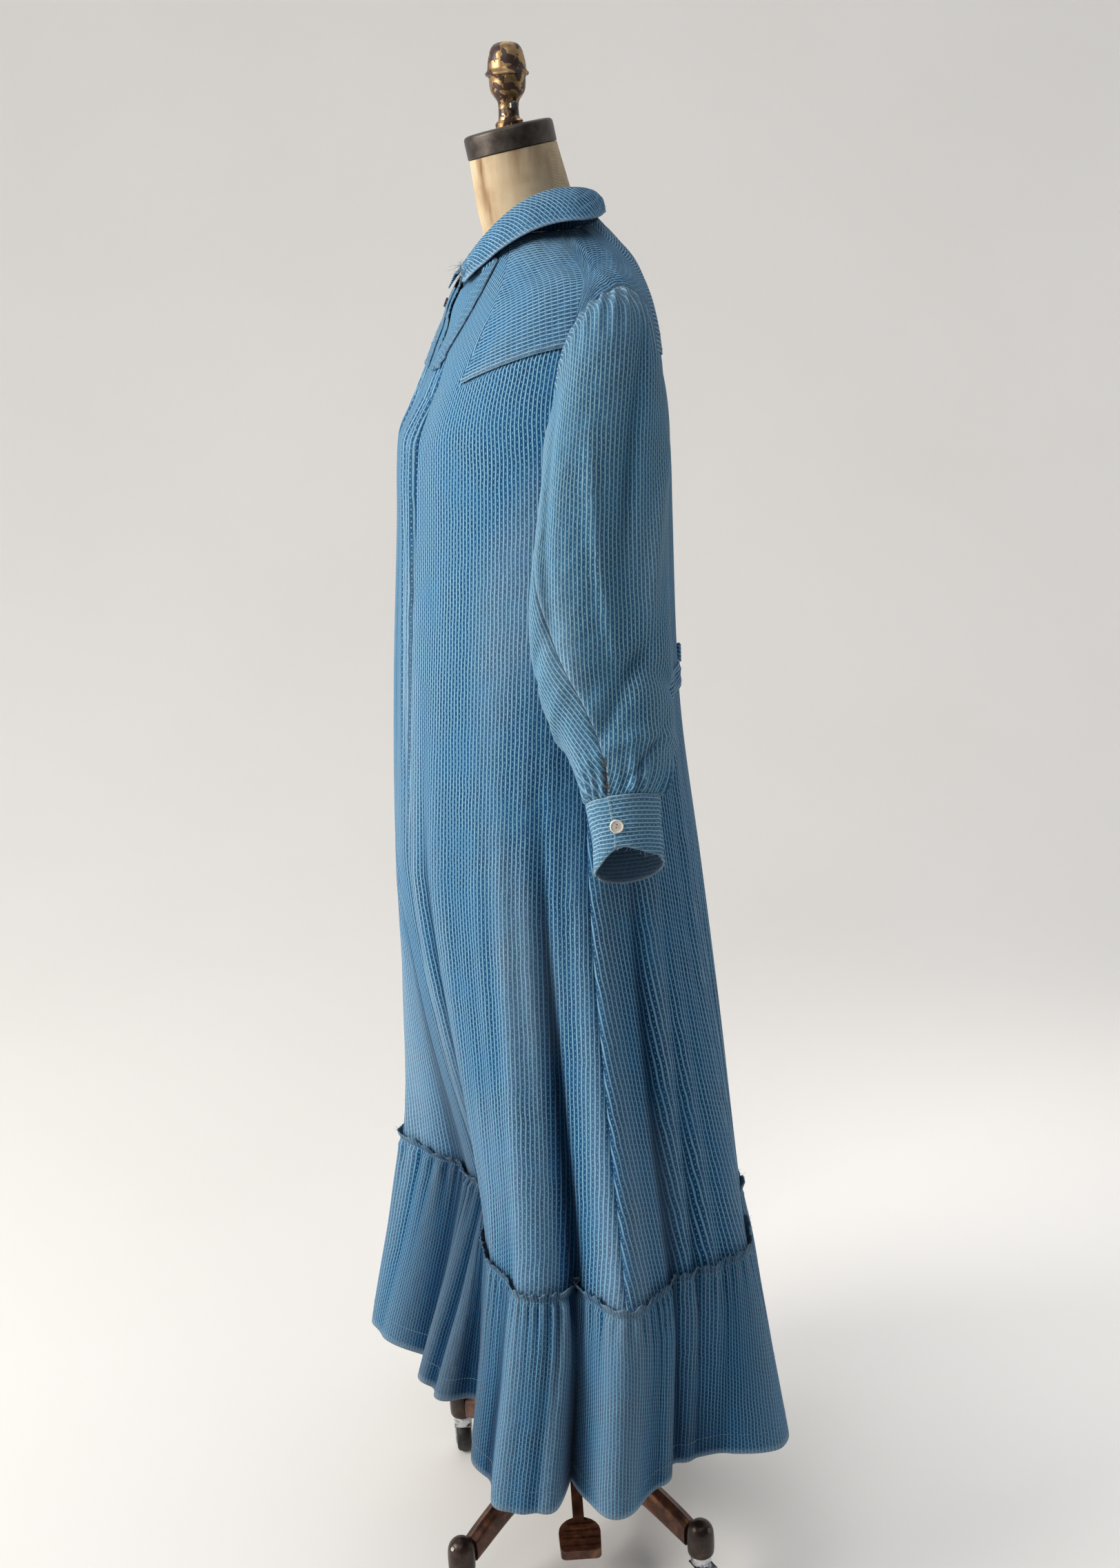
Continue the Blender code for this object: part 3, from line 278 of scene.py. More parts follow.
def ripple(a, b, seed, count=12, low=0.6, high=2.2):
    # seeded sum of sine waves in all directions, about -1 to 1: soft and uneven
    chance = np.random.default_rng(seed)
    total = np.zeros(np.broadcast(a, b).shape)
    for turn, pitch, phase in zip(chance.uniform(0, pi, count), chance.uniform(low, high, count),
                                  chance.uniform(0, 2 * pi, count)):
        total += np.sin((a * cos(turn) + b * sin(turn)) * pitch * 2 * pi + phase)
    return total / np.sqrt(count) / 1.4


def creases(a, b, table):
    # soft troughs (-) and ridges (+): each row runs from (a0, b0) to (a1, b1), as deep as height
    # at its middle, with a bell across it of the given width
    total = np.zeros(np.broadcast(a, b).shape)
    for a0, b0, a1, b1, width, height in table:
        along = np.array((a1 - a0, b1 - b0))
        reach = np.linalg.norm(along)
        share = ((a - a0) * along[0] + (b - b0) * along[1]) / reach ** 2
        away = ((a - a0) * along[1] - (b - b0) * along[0]) / reach
        inside = smoothStep(-0.25, 0.25, share) * smoothStep(1.25, 0.75, share)
        total += height * bell(away, 0, width) * inside
    return total


# Stage

cove = dict(flat=1.8, bend=2.8, sides=97)  # metres before the bend, and the bend's radius


def makeStage():
    # floor and wall in one turned sweep: flat, a quarter circle up, then a straight wall
    flat, bend = cove["flat"], cove["bend"]
    fillet = np.linspace(0, pi / 2, 25)
    radius = np.concatenate(((0.0, 0.8, 1.6), flat + bend * np.sin(fillet), (flat + bend, flat + bend)))
    height = np.concatenate(((0.0, 0.0, 0.0), bend - bend * np.cos(fillet), (3.6, 4.6)))
    turn = np.linspace(0, 2 * pi, cove["sides"])
    points = joined(radius[:, None] * np.cos(turn), radius[:, None] * np.sin(turn), height[:, None])
    material, tree, shader = newMaterial("matt studio paint", 0.9)
    place = addNode(tree, "TexCoord", out=3)
    mottle = addNode(tree, "TexNoise", named={"Vector": place, "Scale": 1.4, "Detail": 4.0})
    tone = addNode(tree, "ValToRGB", mottle)
    tone.node.color_ramp.elements[0].color = toLinear("#EFEEEC")
    tone.node.color_ramp.elements[1].color = toLinear("#F6F5F4")
    # the room behind the camera is dark, so that folds facing it keep their depth
    across = addNode(tree, "SeparateXYZ", place)
    dim = addNode(tree, "MapRange", across, named={"From Min": 0.6, "From Max": 2.0, "To Max": 0.8})
    tree.links.new(mixColours(tree, dim, tone, "#2B2B2D"), shader.inputs["Base Color"])
    faces = gridFaces(len(radius), cove["sides"])[:, ::-1]
    meshFrom("studioCove", points.reshape(-1, 3), faces, material)


onDress = (0, 0, 0.9)
lamps = (
    # name, kind, place, what it points at, size, watts, colour
    ("windowLight", "AREA", (0.45, -3.1, 2.3), onDress, 2.0, 114.0, "#FFF9F0"),
    ("roomLight", "AREA", (2.2, -0.9, 3.6), onDress, 1.6, 12.0, "#FAFCFF"),
    ("wallLight", "AREA", (-1.5, -0.1, 3.2), (-2.2, -0.4, 0.6), 2.4, 15.0, "#FFF5E8"),
    ("floorLight", "SPOT", (-0.1, 1.45, 2.6), (-0.35, 0.95, 0), 0.5, 88.0, "#FFFCF8"),
    ("sideFloorLight", "SPOT", (0.9, 0.9, 2.2), (0.05, 0.75, 0), 0.5, 36.0, "#FFFCF8"),
)
spotAngle = 46  # degrees
room = dict(tint="#EEF2F8", strength=0.50)


def makeLight():
    # each lamp is turned to what it points at: discs for the dress and the wall, soft spots for the floor
    for name, kind, place, aim, size, watts, tint in lamps:
        data = bpy.data.lights.new(name, kind)
        data.energy, data.color = watts, toLinear(tint)[:3]
        if kind == "SPOT":
            data.spot_size, data.spot_blend, data.shadow_soft_size = radians(spotAngle), 1.0, size
        else:
            data.shape, data.size = "DISK", size
        lamp = bpy.data.objects.new(name, data)
        lamp.location = place
        lamp.rotation_euler = (Vector(aim) - Vector(place)).to_track_quat("-Z", "Y").to_euler()
        bpy.context.collection.objects.link(lamp)
    world = bpy.data.worlds.new("softRoom")
    bpy.context.scene.world = world
    world.use_nodes = True
    sky = world.node_tree.nodes["Background"]
    sky.inputs["Color"].default_value = toLinear(room["tint"])
    sky.inputs["Strength"].default_value = room["strength"]
    bpy.context.scene.view_settings.view_transform = "Standard"


makeCamera()
makeStage()
makeLight()

print("stage: cloth and other finishes")

# The print in millimetres; step is how far each next row of dots moves on, in dot pitches
calico = dict(linePitch=4.0, dotPitch=5.8, lineWidth=0.46, dotWide=0.46, dotLong=0.95, step=0.59)
# mixed into the cloth: valley is painted shade, skirt makes it darker towards the bottom, and worn is the
# pale of wear and of the painted highlight on ridges
calicoTones = dict(valley="#4E879C", skirt="#ACD0E2", worn="#A9C2D2")


def makeCalico(name, deep, pale, line, dot, fade=0.0):
    # indigo-printed cotton: fine wavy pale lines with a dot between them, each next row of dots
    # stepped on; washing leaves the ground mottled and the edges paler, and the folds get painted
    # shade in their valleys and a painted highlight on their ridges
    material, tree, shader = newMaterial(name, 0.88, Sheen_Weight=0.04, Sheen_Roughness=0.5)
    shader.inputs["Specular IOR Level"].default_value = 0.15
    place = addNode(tree, "UVMap", uv_map="cloth")
    inMm = addNode(tree, "VectorMath", place, operation="SCALE", named={"Scale": 1000.0})
    u = addNode(tree, "SeparateXYZ", inMm)
    v = u.node.outputs[1]
    drift = addNode(tree, "TexNoise", named={"Vector": inMm, "Scale": 0.045, "Detail": 2.0})
    shaken = addNode(tree, "Math", addNode(tree, "Math", drift, 0.5, operation="SUBTRACT"), 2.2,
                     operation="MULTIPLY")
    straight = addNode(tree, "Math", u, shaken, operation="ADD")
    # zigzag of a quarter millimetre every half dot pitch, stepped from line to line
    near = addNode(tree, "Math", straight, 1 / calico["linePitch"], 0.5, operation="MULTIPLY_ADD")
    near = addNode(tree, "Math", near, operation="FLOOR")
    stepped = addNode(tree, "Math", near, calico["step"] * calico["dotPitch"], v, operation="MULTIPLY_ADD")
    tooth = addNode(tree, "Math", stepped, calico["dotPitch"] / 6, operation="PINGPONG")
    zigzag = addNode(tree, "Math", tooth, 0.34, operation="MULTIPLY")
    lineAt = addNode(tree, "Math", straight, zigzag, operation="ADD")
    fromLine = addNode(tree, "Math", lineAt, calico["linePitch"] / 2, operation="PINGPONG")
    rough = addNode(tree, "TexNoise", named={"Vector": inMm, "Scale": 0.9, "Detail": 3.0})
    ragged = addNode(tree, "Math", rough, 0.5, 0.0, operation="MULTIPLY_ADD")
    fromLine = addNode(tree, "Math", fromLine, ragged, operation="ADD")
    lineEnds = {"From Min": calico["lineWidth"] + 0.62, "From Max": calico["lineWidth"] + 0.22}
    lineMask = addNode(tree, "MapRange", fromLine, interpolation_type="SMOOTHSTEP", named=lineEnds)
    # dots: which gap between lines, then the place along it
    inPitch = addNode(tree, "Math", straight, calico["linePitch"], operation="DIVIDE")
    gap = addNode(tree, "Math", inPitch, operation="FLOOR")
    side = addNode(tree, "Math", addNode(tree, "Math", inPitch, operation="FRACT"), 0.5, operation="SUBTRACT")
    side = addNode(tree, "Math", side, calico["linePitch"] / calico["dotWide"], operation="MULTIPLY")
    run = addNode(tree, "Math", v, calico["dotPitch"], operation="DIVIDE")
    run = addNode(tree, "Math", gap, calico["step"], run, operation="MULTIPLY_ADD")
    run = addNode(tree, "Math", addNode(tree, "Math", run, operation="FRACT"), 0.5, operation="SUBTRACT")
    run = addNode(tree, "Math", run, calico["dotPitch"] / calico["dotLong"], operation="MULTIPLY")
    sideSquare = addNode(tree, "Math", side, side, operation="MULTIPLY")
    spread = addNode(tree, "Math", run, run, sideSquare, operation="MULTIPLY_ADD")
    spread = addNode(tree, "Math", spread, ragged, operation="ADD")
    dotMask = addNode(tree, "MapRange", spread, interpolation_type="SMOOTHSTEP",
                      named={"From Min": 1.55, "From Max": 0.75})
    # ground: broad wash marks and single slubby threads
    wash = addNode(tree, "TexNoise", named={"Vector": inMm, "Scale": 0.02, "Detail": 5.0, "Roughness": 0.6})
    warp = addNode(tree, "VectorMath", inMm, (1.1, 0.05, 0.0), operation="MULTIPLY")
    thread = addNode(tree, "TexNoise", named={"Vector": warp, "Scale": 1.0, "Detail": 2.0})
    weft = addNode(tree, "VectorMath", inMm, (0.05, 1.1, 0.0), operation="MULTIPLY")
    filling = addNode(tree, "TexNoise", named={"Vector": weft, "Scale": 1.0, "Detail": 2.0})
    threads = addNode(tree, "Math", thread, filling, operation="ADD")
    tone = addNode(tree, "Math", threads, 0.35, wash, operation="MULTIPLY_ADD")
    tone = addNode(tree, "MapRange", tone, named={"From Min": 0.62, "From Max": 1.08})
    colour = mixColours(tree, tone, deep, pale)
    washedOut = {"From Min": 0.3, "From Max": 0.7, "To Min": 0.95, "To Max": 0.70}
    strength = addNode(tree, "MapRange", wash, named=washedOut)
    lineShare = addNode(tree, "Math", lineMask, strength, operation="MULTIPLY")
    colour = mixColours(tree, lineShare, colour, line)
    dotStrength = addNode(tree, "Math", strength, 0.70, operation="MULTIPLY")
    dotShare = addNode(tree, "Math", dotMask, dotStrength, operation="MULTIPLY")
    colour = mixColours(tree, dotShare, colour, dot)
    # painted shade darkens the valleys, where less light reaches; and the cloth is darker and bluer
    # towards the bottom
    valley = addNode(tree, "Attribute", out=2, attribute_name="valley")
    colour = mixColours(tree, valley, colour, calicoTones["valley"], "MULTIPLY")
    height = addNode(tree, "SeparateXYZ", addNode(tree, "TexCoord", out=3), out=2)
    lowDarkening = addNode(tree, "MapRange", height, named={"From Min": 1.15, "From Max": 0.35, "To Max": 0.62})
    colour = mixColours(tree, lowDarkening, colour, calicoTones["skirt"], "MULTIPLY")
    # wear makes the edges paler and a painted highlight the ridges, broken up by the threads
    worn = addNode(tree, "Attribute", out=2, attribute_name="worn")
    broken = addNode(tree, "Math", worn, addNode(tree, "Math", threads, 0.35, operation="ADD"),
                     operation="MULTIPLY")
    broken = addNode(tree, "Math", broken, fade, operation="ADD", use_clamp=True)
    colour = mixColours(tree, broken, colour, calicoTones["worn"])
    tree.links.new(colour, shader.inputs["Base Color"])
    # the weave is drawn about 0.9 mm coarse and the crumple 12 mm, as bumps
    crumple = addNode(tree, "TexNoise", named={"Vector": inMm, "Scale": 0.075, "Detail": 3.0})
    raised = addNode(tree, "Math", threads, 0.10, crumple, operation="MULTIPLY_ADD")
    bump = addNode(tree, "Bump", named={"Strength": 0.55, "Distance": 0.0034, "Height": raised})
    tree.links.new(bump, shader.inputs["Normal"])
    return material


calicoCloth = makeCalico("washed indigo calico", "#083F69", "#1B6191", "#93C4DE", "#A2CBE0")
# a paler copy for the sleeves and cuffs: partly wear, and partly painted light that lifts them
calicoWornAndLit = makeCalico("worn indigo calico with painted light", "#18557E", "#337CA8", "#A8D3E6", "#B4D8E8", 0.03)
# a darker copy of the calico, for the ruffle
calicoDeep = makeCalico("deep indigo calico", "#07385D", "#185A87", "#80B5D1", "#92BFD7")
# for the inner faces: its print is faint, and it is painted darker as shade inside the garment
calicoReverseShaded = makeCalico("reverse of the calico in painted shade", "#102B45", "#1B405F", "#41688A", "#4A7090")

print("stage: dress surfaces")

# The dress's rings from the neck seam down: drop, half width, the y of front, side and back,
# and the z of each
dressRings = np.array((
    (0.000, 0.066, -0.060, 0.012, 0.0765, 1.450, 1.500, 1.512),
    (0.060, 0.125, -0.078, 0.031, 0.107, 1.418, 1.4745, 1.472),
    (0.125, 0.185, -0.100, 0.049, 0.118, 1.376, 1.444, 1.414),
    (0.180, 0.200, -0.121, 0.046, 0.125, 1.330, 1.375, 1.347),
    (0.260, 0.200, -0.130, 0.038, 0.130, 1.285, 1.295, 1.290),
    (0.315, 0.198, -0.133, 0.029, 0.131, 1.240, 1.240, 1.240),
    (0.495, 0.193, -0.148, 0.012, 0.1365, 1.060, 1.060, 1.060),
    (0.685, 0.212, -0.159, 0.005, 0.157, 0.870, 0.870, 0.870),
    (0.857, 0.240, -0.161, 0.006, 0.173, 0.700, 0.700, 0.700),
    (1.070, 0.275, -0.1685, 0.010, 0.1935, 0.490, 0.485, 0.490),
    (1.315, 0.286, -0.228, 0.003, 0.2325, 0.247, 0.247, 0.247),
))
# Folds of the skirt: angle from the front, drop where it starts, push at the seam and at the hem
skirtFolds = np.array((
    (-19, 0.74, 0.010, 0.002), (-14, 0.72, -0.018, -0.010), (-8, 0.70, -0.048, -0.052),
    (0, 0.68, -0.066, -0.062), (7, 0.66, -0.075, -0.056), (13, 0.66, -0.080, -0.062),
    (20, 0.66, -0.084, -0.100), (29, 0.66, -0.072, -0.100), (36, 0.66, -0.050, -0.082),
    (42, 0.66, -0.031, -0.058), (50, 0.66, -0.018, -0.036), (59, 0.64, -0.008, -0.017),
    (68, 0.58, -0.004, -0.004), (73, 0.50, -0.016, -0.016), (77, 0.46, -0.024, -0.050),
    (82, 0.50, -0.010, -0.026), (89, 0.62, 0.014, -0.006), (96, 0.62, 0.008, -0.018),
    (103, 0.60, 0.000, -0.036), (111, 0.60, -0.006, -0.045), (119, 0.62, 0.002, -0.040),
    (128, 0.70, 0.014, -0.010), (136, 0.74, 0.016, 0.022), (144, 0.70, 0.002, 0.012),
    (152, 0.56, -0.014, -0.012), (160, 0.60, -0.008, -0.006), (168, 0.60, -0.006, -0.002),
    (175, 0.56, -0.012, -0.008), (183, 0.56, -0.012, -0.010), (190, 0.60, -0.002, 0.006),
    (198, 0.58, -0.012, -0.008), (207, 0.62, 0.004, 0.014), (216, 0.66, 0.010, 0.020),
    (225, 0.66, 0.008, 0.018), (234, 0.60, -0.004, -0.006), (243, 0.60, -0.010, -0.018),
    (252, 0.62, 0.000, -0.004), (262, 0.62, 0.010, 0.008), (272, 0.60, 0.002, -0.002),
    (281, 0.52, -0.016, -0.022), (289, 0.60, -0.002, -0.004), (297, 0.64, 0.006, 0.004),
    (305, 0.62, -0.012, -0.018), (312, 0.62, -0.032, -0.046), (319, 0.62, -0.036, -0.044),
    (326, 0.66, -0.024, -0.026), (334, 0.72, -0.006, -0.004),
))
dress = dict(square=2.2, seamDrop=1.0675, hemDrop=1.315, tuckAngles=(9.0, 17.0, -9.0, -17.0),
             tuckDepth=0.0105, tuckWidth=1.7, smallFold=0.0052)
# Narrow valleys (-) and ridges (+) that sharpen the skirt's folds: angle, lean, width, height
dressValleys = (
    (76.5, 0.3, 1.9, -0.014), (31.0, -2.0, 3.0, -0.008), (104.0, 3.0, 3.5, -0.007),
    (92.0, 1.0, 3.0, 0.005), (119.0, -2.0, 3.0, -0.006), (132.0, 2.0, 4.0, 0.005),
    (146.0, 1.0, 3.0, -0.006), (58.0, 2.0, 4.0, 0.004), (-26.0, 2.0, 3.0, -0.007),
    (-52.0, 1.0, 3.5, -0.006), (-78.0, 0.5, 2.6, -0.009), (-112.0, 1.0, 3.4, -0.007),
    (-140.0, -2.0, 3.2, -0.006), (172.0, 1.0, 3.0, -0.006),
)
# the fold below the side seam gets more painted shade than the others
deepestFold = 76.8  # degrees: the fold below the side seam, which is darker than the others


def along(table, x):
    # smooth curve through a table's rows at x: a cubic between rows with averaged slopes
    at, value = table[:, 0], table[:, 1:]
    step = np.diff(at)
    slope = np.diff(value, axis=0) / step[:, None]
    inner = (step[1:, None] * slope[:-1] + step[:-1, None] * slope[1:]) / (step[1:] + step[:-1])[:, None]
    tangent = np.vstack((slope[:1], inner, slope[-1:]))
    x = np.asarray(x, float)
    k = np.clip(np.searchsorted(at, x, side="right") - 1, 0, len(at) - 2)
    t, h = ((x - at[k]) / step[k])[..., None], step[k][..., None]
    return ((2 * t ** 3 - 3 * t ** 2 + 1) * value[k] + (t ** 3 - 2 * t ** 2 + t) * h * tangent[k]
            + (3 * t ** 2 - 2 * t ** 3) * value[k + 1] + (t ** 3 - t ** 2) * h * tangent[k + 1])


def through(rows, at):
    # the smooth curve through rows of any shape, numbered from 0
    rows = np.asarray(rows, float)
    table = np.column_stack((np.arange(float(len(rows))), rows.reshape(len(rows), -1)))
    return along(table, at).reshape(np.shape(at) + rows.shape[1:])


def ringPoint(sizes, angle):
    # a ring's point: half width times sin^p, and front or back depth times cos^p, p below 1
    halfWide, frontY, sideY, backY, frontZ, sideZ, backZ = sizes
    c, s = np.cos(np.radians(angle)), np.sin(np.radians(angle))
    power = 2 / dress["square"]
    return np.stack((halfWide * np.sign(s) * abs(s) ** power,
                     sideY + np.where(c > 0, frontY - sideY, backY - sideY) * abs(c) ** power,
                     sideZ + np.where(c > 0, frontZ - sideZ, backZ - sideZ) * c * c), axis=-1)


def foldPush(angle, drop):
    # the table's folds, growing from their start down to the seam and changing on to the hem
    turned = (angle - skirtFolds[0, 0]) % 360 + skirtFolds[0, 0]
    table = np.vstack((skirtFolds[-1:], skirtFolds, skirtFolds[:2]))
    table[0, 0] -= 360
    table[-2:, 0] += 360
    start, atSeam, atHem = np.moveaxis(along(table, turned), -1, 0)
    growth = np.clip((drop - start) / (dress["seamDrop"] - start), 0, 1)
    below = np.clip((drop - dress["seamDrop"]) / (dress["hemDrop"] - dress["seamDrop"]), 0, 1)
    return atSeam * growth * (0.45 + 0.55 * growth) + (atHem - atSeam) * below


def smallPush(angle, drop):
    # shallow uneven hang of the cloth between the big folds, the front's stitched tucks, the hollow
    # below the open neck and the narrow valleys, each fading in and out over its own drops
    turned = (angle + 180) % 360 - 180
    ramp = smoothStep(0.42, 0.85, drop)
    soft = hang(angle, drop, 9, 9, 27) + 0.45 * hang(angle, drop, 10, 24, 52, 6.0)
    held = np.interp(drop, (0.10, 0.16, 0.50, 0.78), (0, 1, 1, 0))
    tucks = sum(-dress["tuckDepth"] * bell(turned, at, dress["tuckWidth"]) for at in dress["tuckAngles"])
    body = hang(angle, drop, 3, 5, 22, 9.0) * 0.0020 * smoothStep(0.13, 0.2, drop)
    hollow = -0.007 * bell(turned, 0, 36) * smoothStep(0.02, 0.08, drop) * smoothStep(0.21, 0.14, drop)
    low = smoothStep(0.50, 1.0, drop)
    valleys = sum(deep * bell(turned - lean * drop, at, wide) for at, lean, wide, deep in dressValleys)
    return dress["smallFold"] * ramp * soft + tucks * held + body + hollow + low * valleys


def torso(angle, drop):
    # the dress's outer face at an angle in degrees from the front and a drop from the neck seam
    angle, drop = np.broadcast_arrays(np.asarray(angle, float), np.asarray(drop, float))
    sizes = np.moveaxis(along(dressRings, drop), -1, 0)
    points = ringPoint(sizes, angle)
    halfWide, frontY, sideY, backY = sizes[:4]
    c, s = np.cos(np.radians(angle)), np.sin(np.radians(angle))
    away = unit(np.stack((s / halfWide, -c / np.where(c > 0, sideY - frontY, backY - sideY)), axis=-1))
    radial = unit(points[..., :2] - joined(0.0, sideY))
    points[..., :2] += radial * foldPush(angle, drop)[..., None] + away * smallPush(angle, drop)[..., None]
    return points


def offTorso(angle, drop, height):
    # points at a height above the dress along its true normal
    angle, drop = np.broadcast_arrays(np.asarray(angle, float), np.asarray(drop, float))
    across = torso(angle + 0.3, drop) - torso(angle - 0.3, drop)
    down = torso(angle, drop + 0.002) - torso(angle, drop - 0.002)
    normal = unit(np.cross(down, across))
    return torso(angle, drop) + normal * np.asarray(height)[..., None]


# Edges on the dress, in degrees from the front and drops from the neck seam; the panels dip under
# the yoke by the last measure
armhole = dict(top=0.114, middle=0.194, bottom=0.318, front=16.0, back=38.0, highest=101.0)
yoke = dict(neck=67.0, point=38.0, pointDrop=0.156, arm=77.0, armDrop=0.157, back=125.0, backDrop=0.157,
            centreDrop=0.150, under=0.0022)
neckOpening = dict(half=7.0, bottom=0.100)


def armEdge(drop, reach):
    # angle of the armhole's edge: two half ellipses, the upper one leaning to its highest point
    top, middle, bottom = armhole["top"], armhole["middle"], armhole["bottom"]
    half = np.where(drop < middle, middle - top, bottom - middle)
    share = np.sqrt(np.clip(1 - ((drop - middle) / half) ** 2, 0, 1))
    high = armhole["highest"] + (90 + reach - armhole["highest"]) * share
    low = np.where(drop < bottom, 90 + reach * share, 90.0)
    return np.where(drop < middle, high, low)


def neckEdge(drop):
    # angle of the open neck's edge: widest at the seam and closing evenly to nothing at its bottom
    return neckOpening["half"] * np.clip(1 - np.asarray(drop) / neckOpening["bottom"], 0, 1)


def edgeWear(*distances, reach=0.0018, most=0.3):
    # paler towards a folded edge: most times e to minus (distance over reach) to the power 1.5
    return most * sum(np.exp(-(np.abs(d) / reach) ** 1.5) for d in distances)


# Rows of the length table: spacing in metres, number, and the rows of the bust and the waist
lengthRows = dict(step=0.005, count=219, bust=60, waist=90)


def lengthTable(centre, reach):
    # lengths on the cloth: across from the centre angle, and down from the bust, so that the rows
    # of dots lie level there
    angles = np.arange(centre - reach, centre + reach + 0.25, 0.5)
    drops = np.linspace(0, 1.09, lengthRows["count"])
    sizes = np.moveaxis(along(dressRings, drops), -1, 0)[..., None]
    points = ringPoint(sizes, angles[None])
    radial = unit(points[..., :2] - joined(0.0, sizes[2]))
    points[..., :2] += radial * foldPush(*np.broadcast_arrays(angles[None], drops[:, None]))[..., None]
    across, down = running(points, 1), running(points, 0)
    across -= across[:, [int(round(reach * 2))]]
    across += 0.5 * smoothStep(0.2, 0.5, drops)[:, None] * (across[[lengthRows["waist"]]] - across)
    return angles[0], across, down - down[[lengthRows["bust"]]]


def stripeUv(angle, drop, centre, reach=110):
    # the print's place on a body panel: its stripes run down from the neck, level from the centre;
    # both lengths are read between the table's four nearest entries
    first, *lengths = lengthTable(centre, reach)
    rows, columns = lengths[0].shape
    a = np.clip((angle - first) * 2, 0, columns - 1.001)
    d = np.clip(drop / lengthRows["step"], 0, rows - 1.001)
    i, j = a.astype(int), d.astype(int)
    a, d = a - i, (d - j)[..., None]
    high = [table[j, i] * (1 - a) + table[j, i + 1] * a for table in lengths]
    low = [table[j + 1, i] * (1 - a) + table[j + 1, i + 1] * a for table in lengths]
    return np.stack(high, axis=-1) * (1 - d) + np.stack(low, axis=-1) * d


stitches, frays, browned = [], [], []
stitch = dict(pitch=0.0031, length=0.0021, hump=0.00035)


def stitchAlong(path, normal):
    # small thread humps along a path on the cloth: start, middle and end of each
    run = running(path)
    at = np.arange(0.001, run[-1] - stitch["length"], stitch["pitch"])
    half = stitch["length"] / 2
    start, middle, end = (between(at + part, run, path) for part in (0, half, stitch["length"]))
    up = between(at + half, run, normal)
    stitches.append(np.stack((start, middle + up * stitch["hump"], end), axis=1))


def stitchRows(points, up, rows, lift=0.0002):
    # stitching along whole rows of a grid, lifted off it along its outward directions
    for row in rows:
        stitchAlong(points[row] + up[row] * lift, up[row])


def frayAlong(path, away, count, length, seed):
    # loose threads from a path: each leaves in the given direction, turned by chance, and sags
    chance = np.random.default_rng(seed)
    run = running(path)
    at = np.sort(chance.uniform(0, run[-1], count))
    start, out = between(at, run, path), between(at, run, np.broadcast_to(away, path.shape))
    size = length * chance.uniform(0.35, 1.0, (count, 1))
    out = out + chance.normal(0, 0.45, (count, 3))
    middle = start + out * size * 0.55
    end = start + (out + chance.normal(0, 0.5, (count, 3))) * size - (0, 0, length * 0.15)
    return np.stack((start, middle, end), axis=1)


def threadPiece(name, lines, radius, material):
    # three-sided threads through their points, thin at both ends
    axis = unit(lines[:, -1] - lines[:, 0], 1e-12)
    side = unit(np.cross(axis, (0.3, 0.2, 0.93)), 1e-12)
    over = np.cross(axis, side)
    turn = np.arange(3) * 2 * pi / 3
    ring = side[:, None] * np.cos(turn)[None, :, None] + over[:, None] * np.sin(turn)[None, :, None]
    wide = np.array((0.35, 1.0, 0.35)) * radius
    points = lines[:, :, None] + ring[:, None] * wide[None, :, None, None]
    number = np.arange(len(lines) * 9).reshape(-1, 3, 3)
    low, high = number[:, :-1], number[:, 1:]
    faces = np.stack((low, np.roll(low, -1, axis=2), np.roll(high, -1, axis=2), high), axis=-1)
    thing = meshFrom(name, points.reshape(-1, 3) + columnAt, faces.reshape(-1, 4), material)
    finishPiece(thing)


def makeFronts():
    # one grid for both fronts: columns run from the closing to the yoke's edge or its point, and on
    # to the side seam; under the yoke and at the side seam the front dips by a cloth's thickness
    drops = np.linspace(0.0, dress["seamDrop"] + 0.004, 262)[:, None]
    tip, beyond = np.linspace(0, 1, 27), np.linspace(0, 1, 43)[1:]
    start = neckEdge(drops) + 0.06
    edge = yoke["neck"] + (yoke["point"] - yoke["neck"]) * drops / yoke["pointDrop"]
    turn = np.where(drops < yoke["pointDrop"], edge + 1.5, yoke["point"])
    end = armEdge(np.maximum(drops, yoke["armDrop"]), -armhole["front"])
    end = end + np.where(drops > armhole["bottom"], 0.5, -0.08)
    angle = np.hstack((start + (turn - start) * tip, turn + (end - turn) * beyond))
    level = np.repeat(drops, angle.shape[1], axis=1)
    keep = np.ones((len(drops) - 1, angle.shape[1] - 1), bool)
    keep[drops[:-1, 0] < yoke["pointDrop"] - 0.010, len(tip) - 1:] = False
    atYoke = np.where(level < yoke["pointDrop"] + 0.002, smoothStep(-1.0, 0.5, angle - edge), 0)
    atSeam = smoothStep(end - 0.9, end - 0.2, angle) * (level > armhole["bottom"])
    worn = 0.10 * np.clip(ripple(angle / 60, level * 1.6, 5), 0, 1) * smoothStep(0.10, 0.25, level)
    fall = np.linspace(0.150, 0.500, 120)
    for side, sign, dip in (("Left", 1, 0.0014), ("Right", -1, 0.0028)):
        points = offTorso(sign * angle, level, -(atYoke * yoke["under"] + dip * atSeam))
        # painted shade in the deep folds, most in the fold below the side seam
        recess = 0.62 * smoothStep(-0.012, -0.06, foldPush(sign * angle, level))
        recess = recess + 0.7 * bell(sign * angle, deepestFold, 2.2) * smoothStep(0.70, 1.0, level)
        clothPiece(f"front{side}", points, stripeUv(sign * angle, level, 0), calicoCloth,
                   (f"front_{side.lower()}",), keep=keep, worn=worn, outward=-sign, shade=recess)
        for tuck in dress["tuckAngles"][:2]:
            for beside in (-1.5, 1.5):
                at = sign * (tuck + beside)
                path = offTorso(at, fall, 0.0004)
                stitchAlong(path, path - offTorso(at, fall, -1.0))


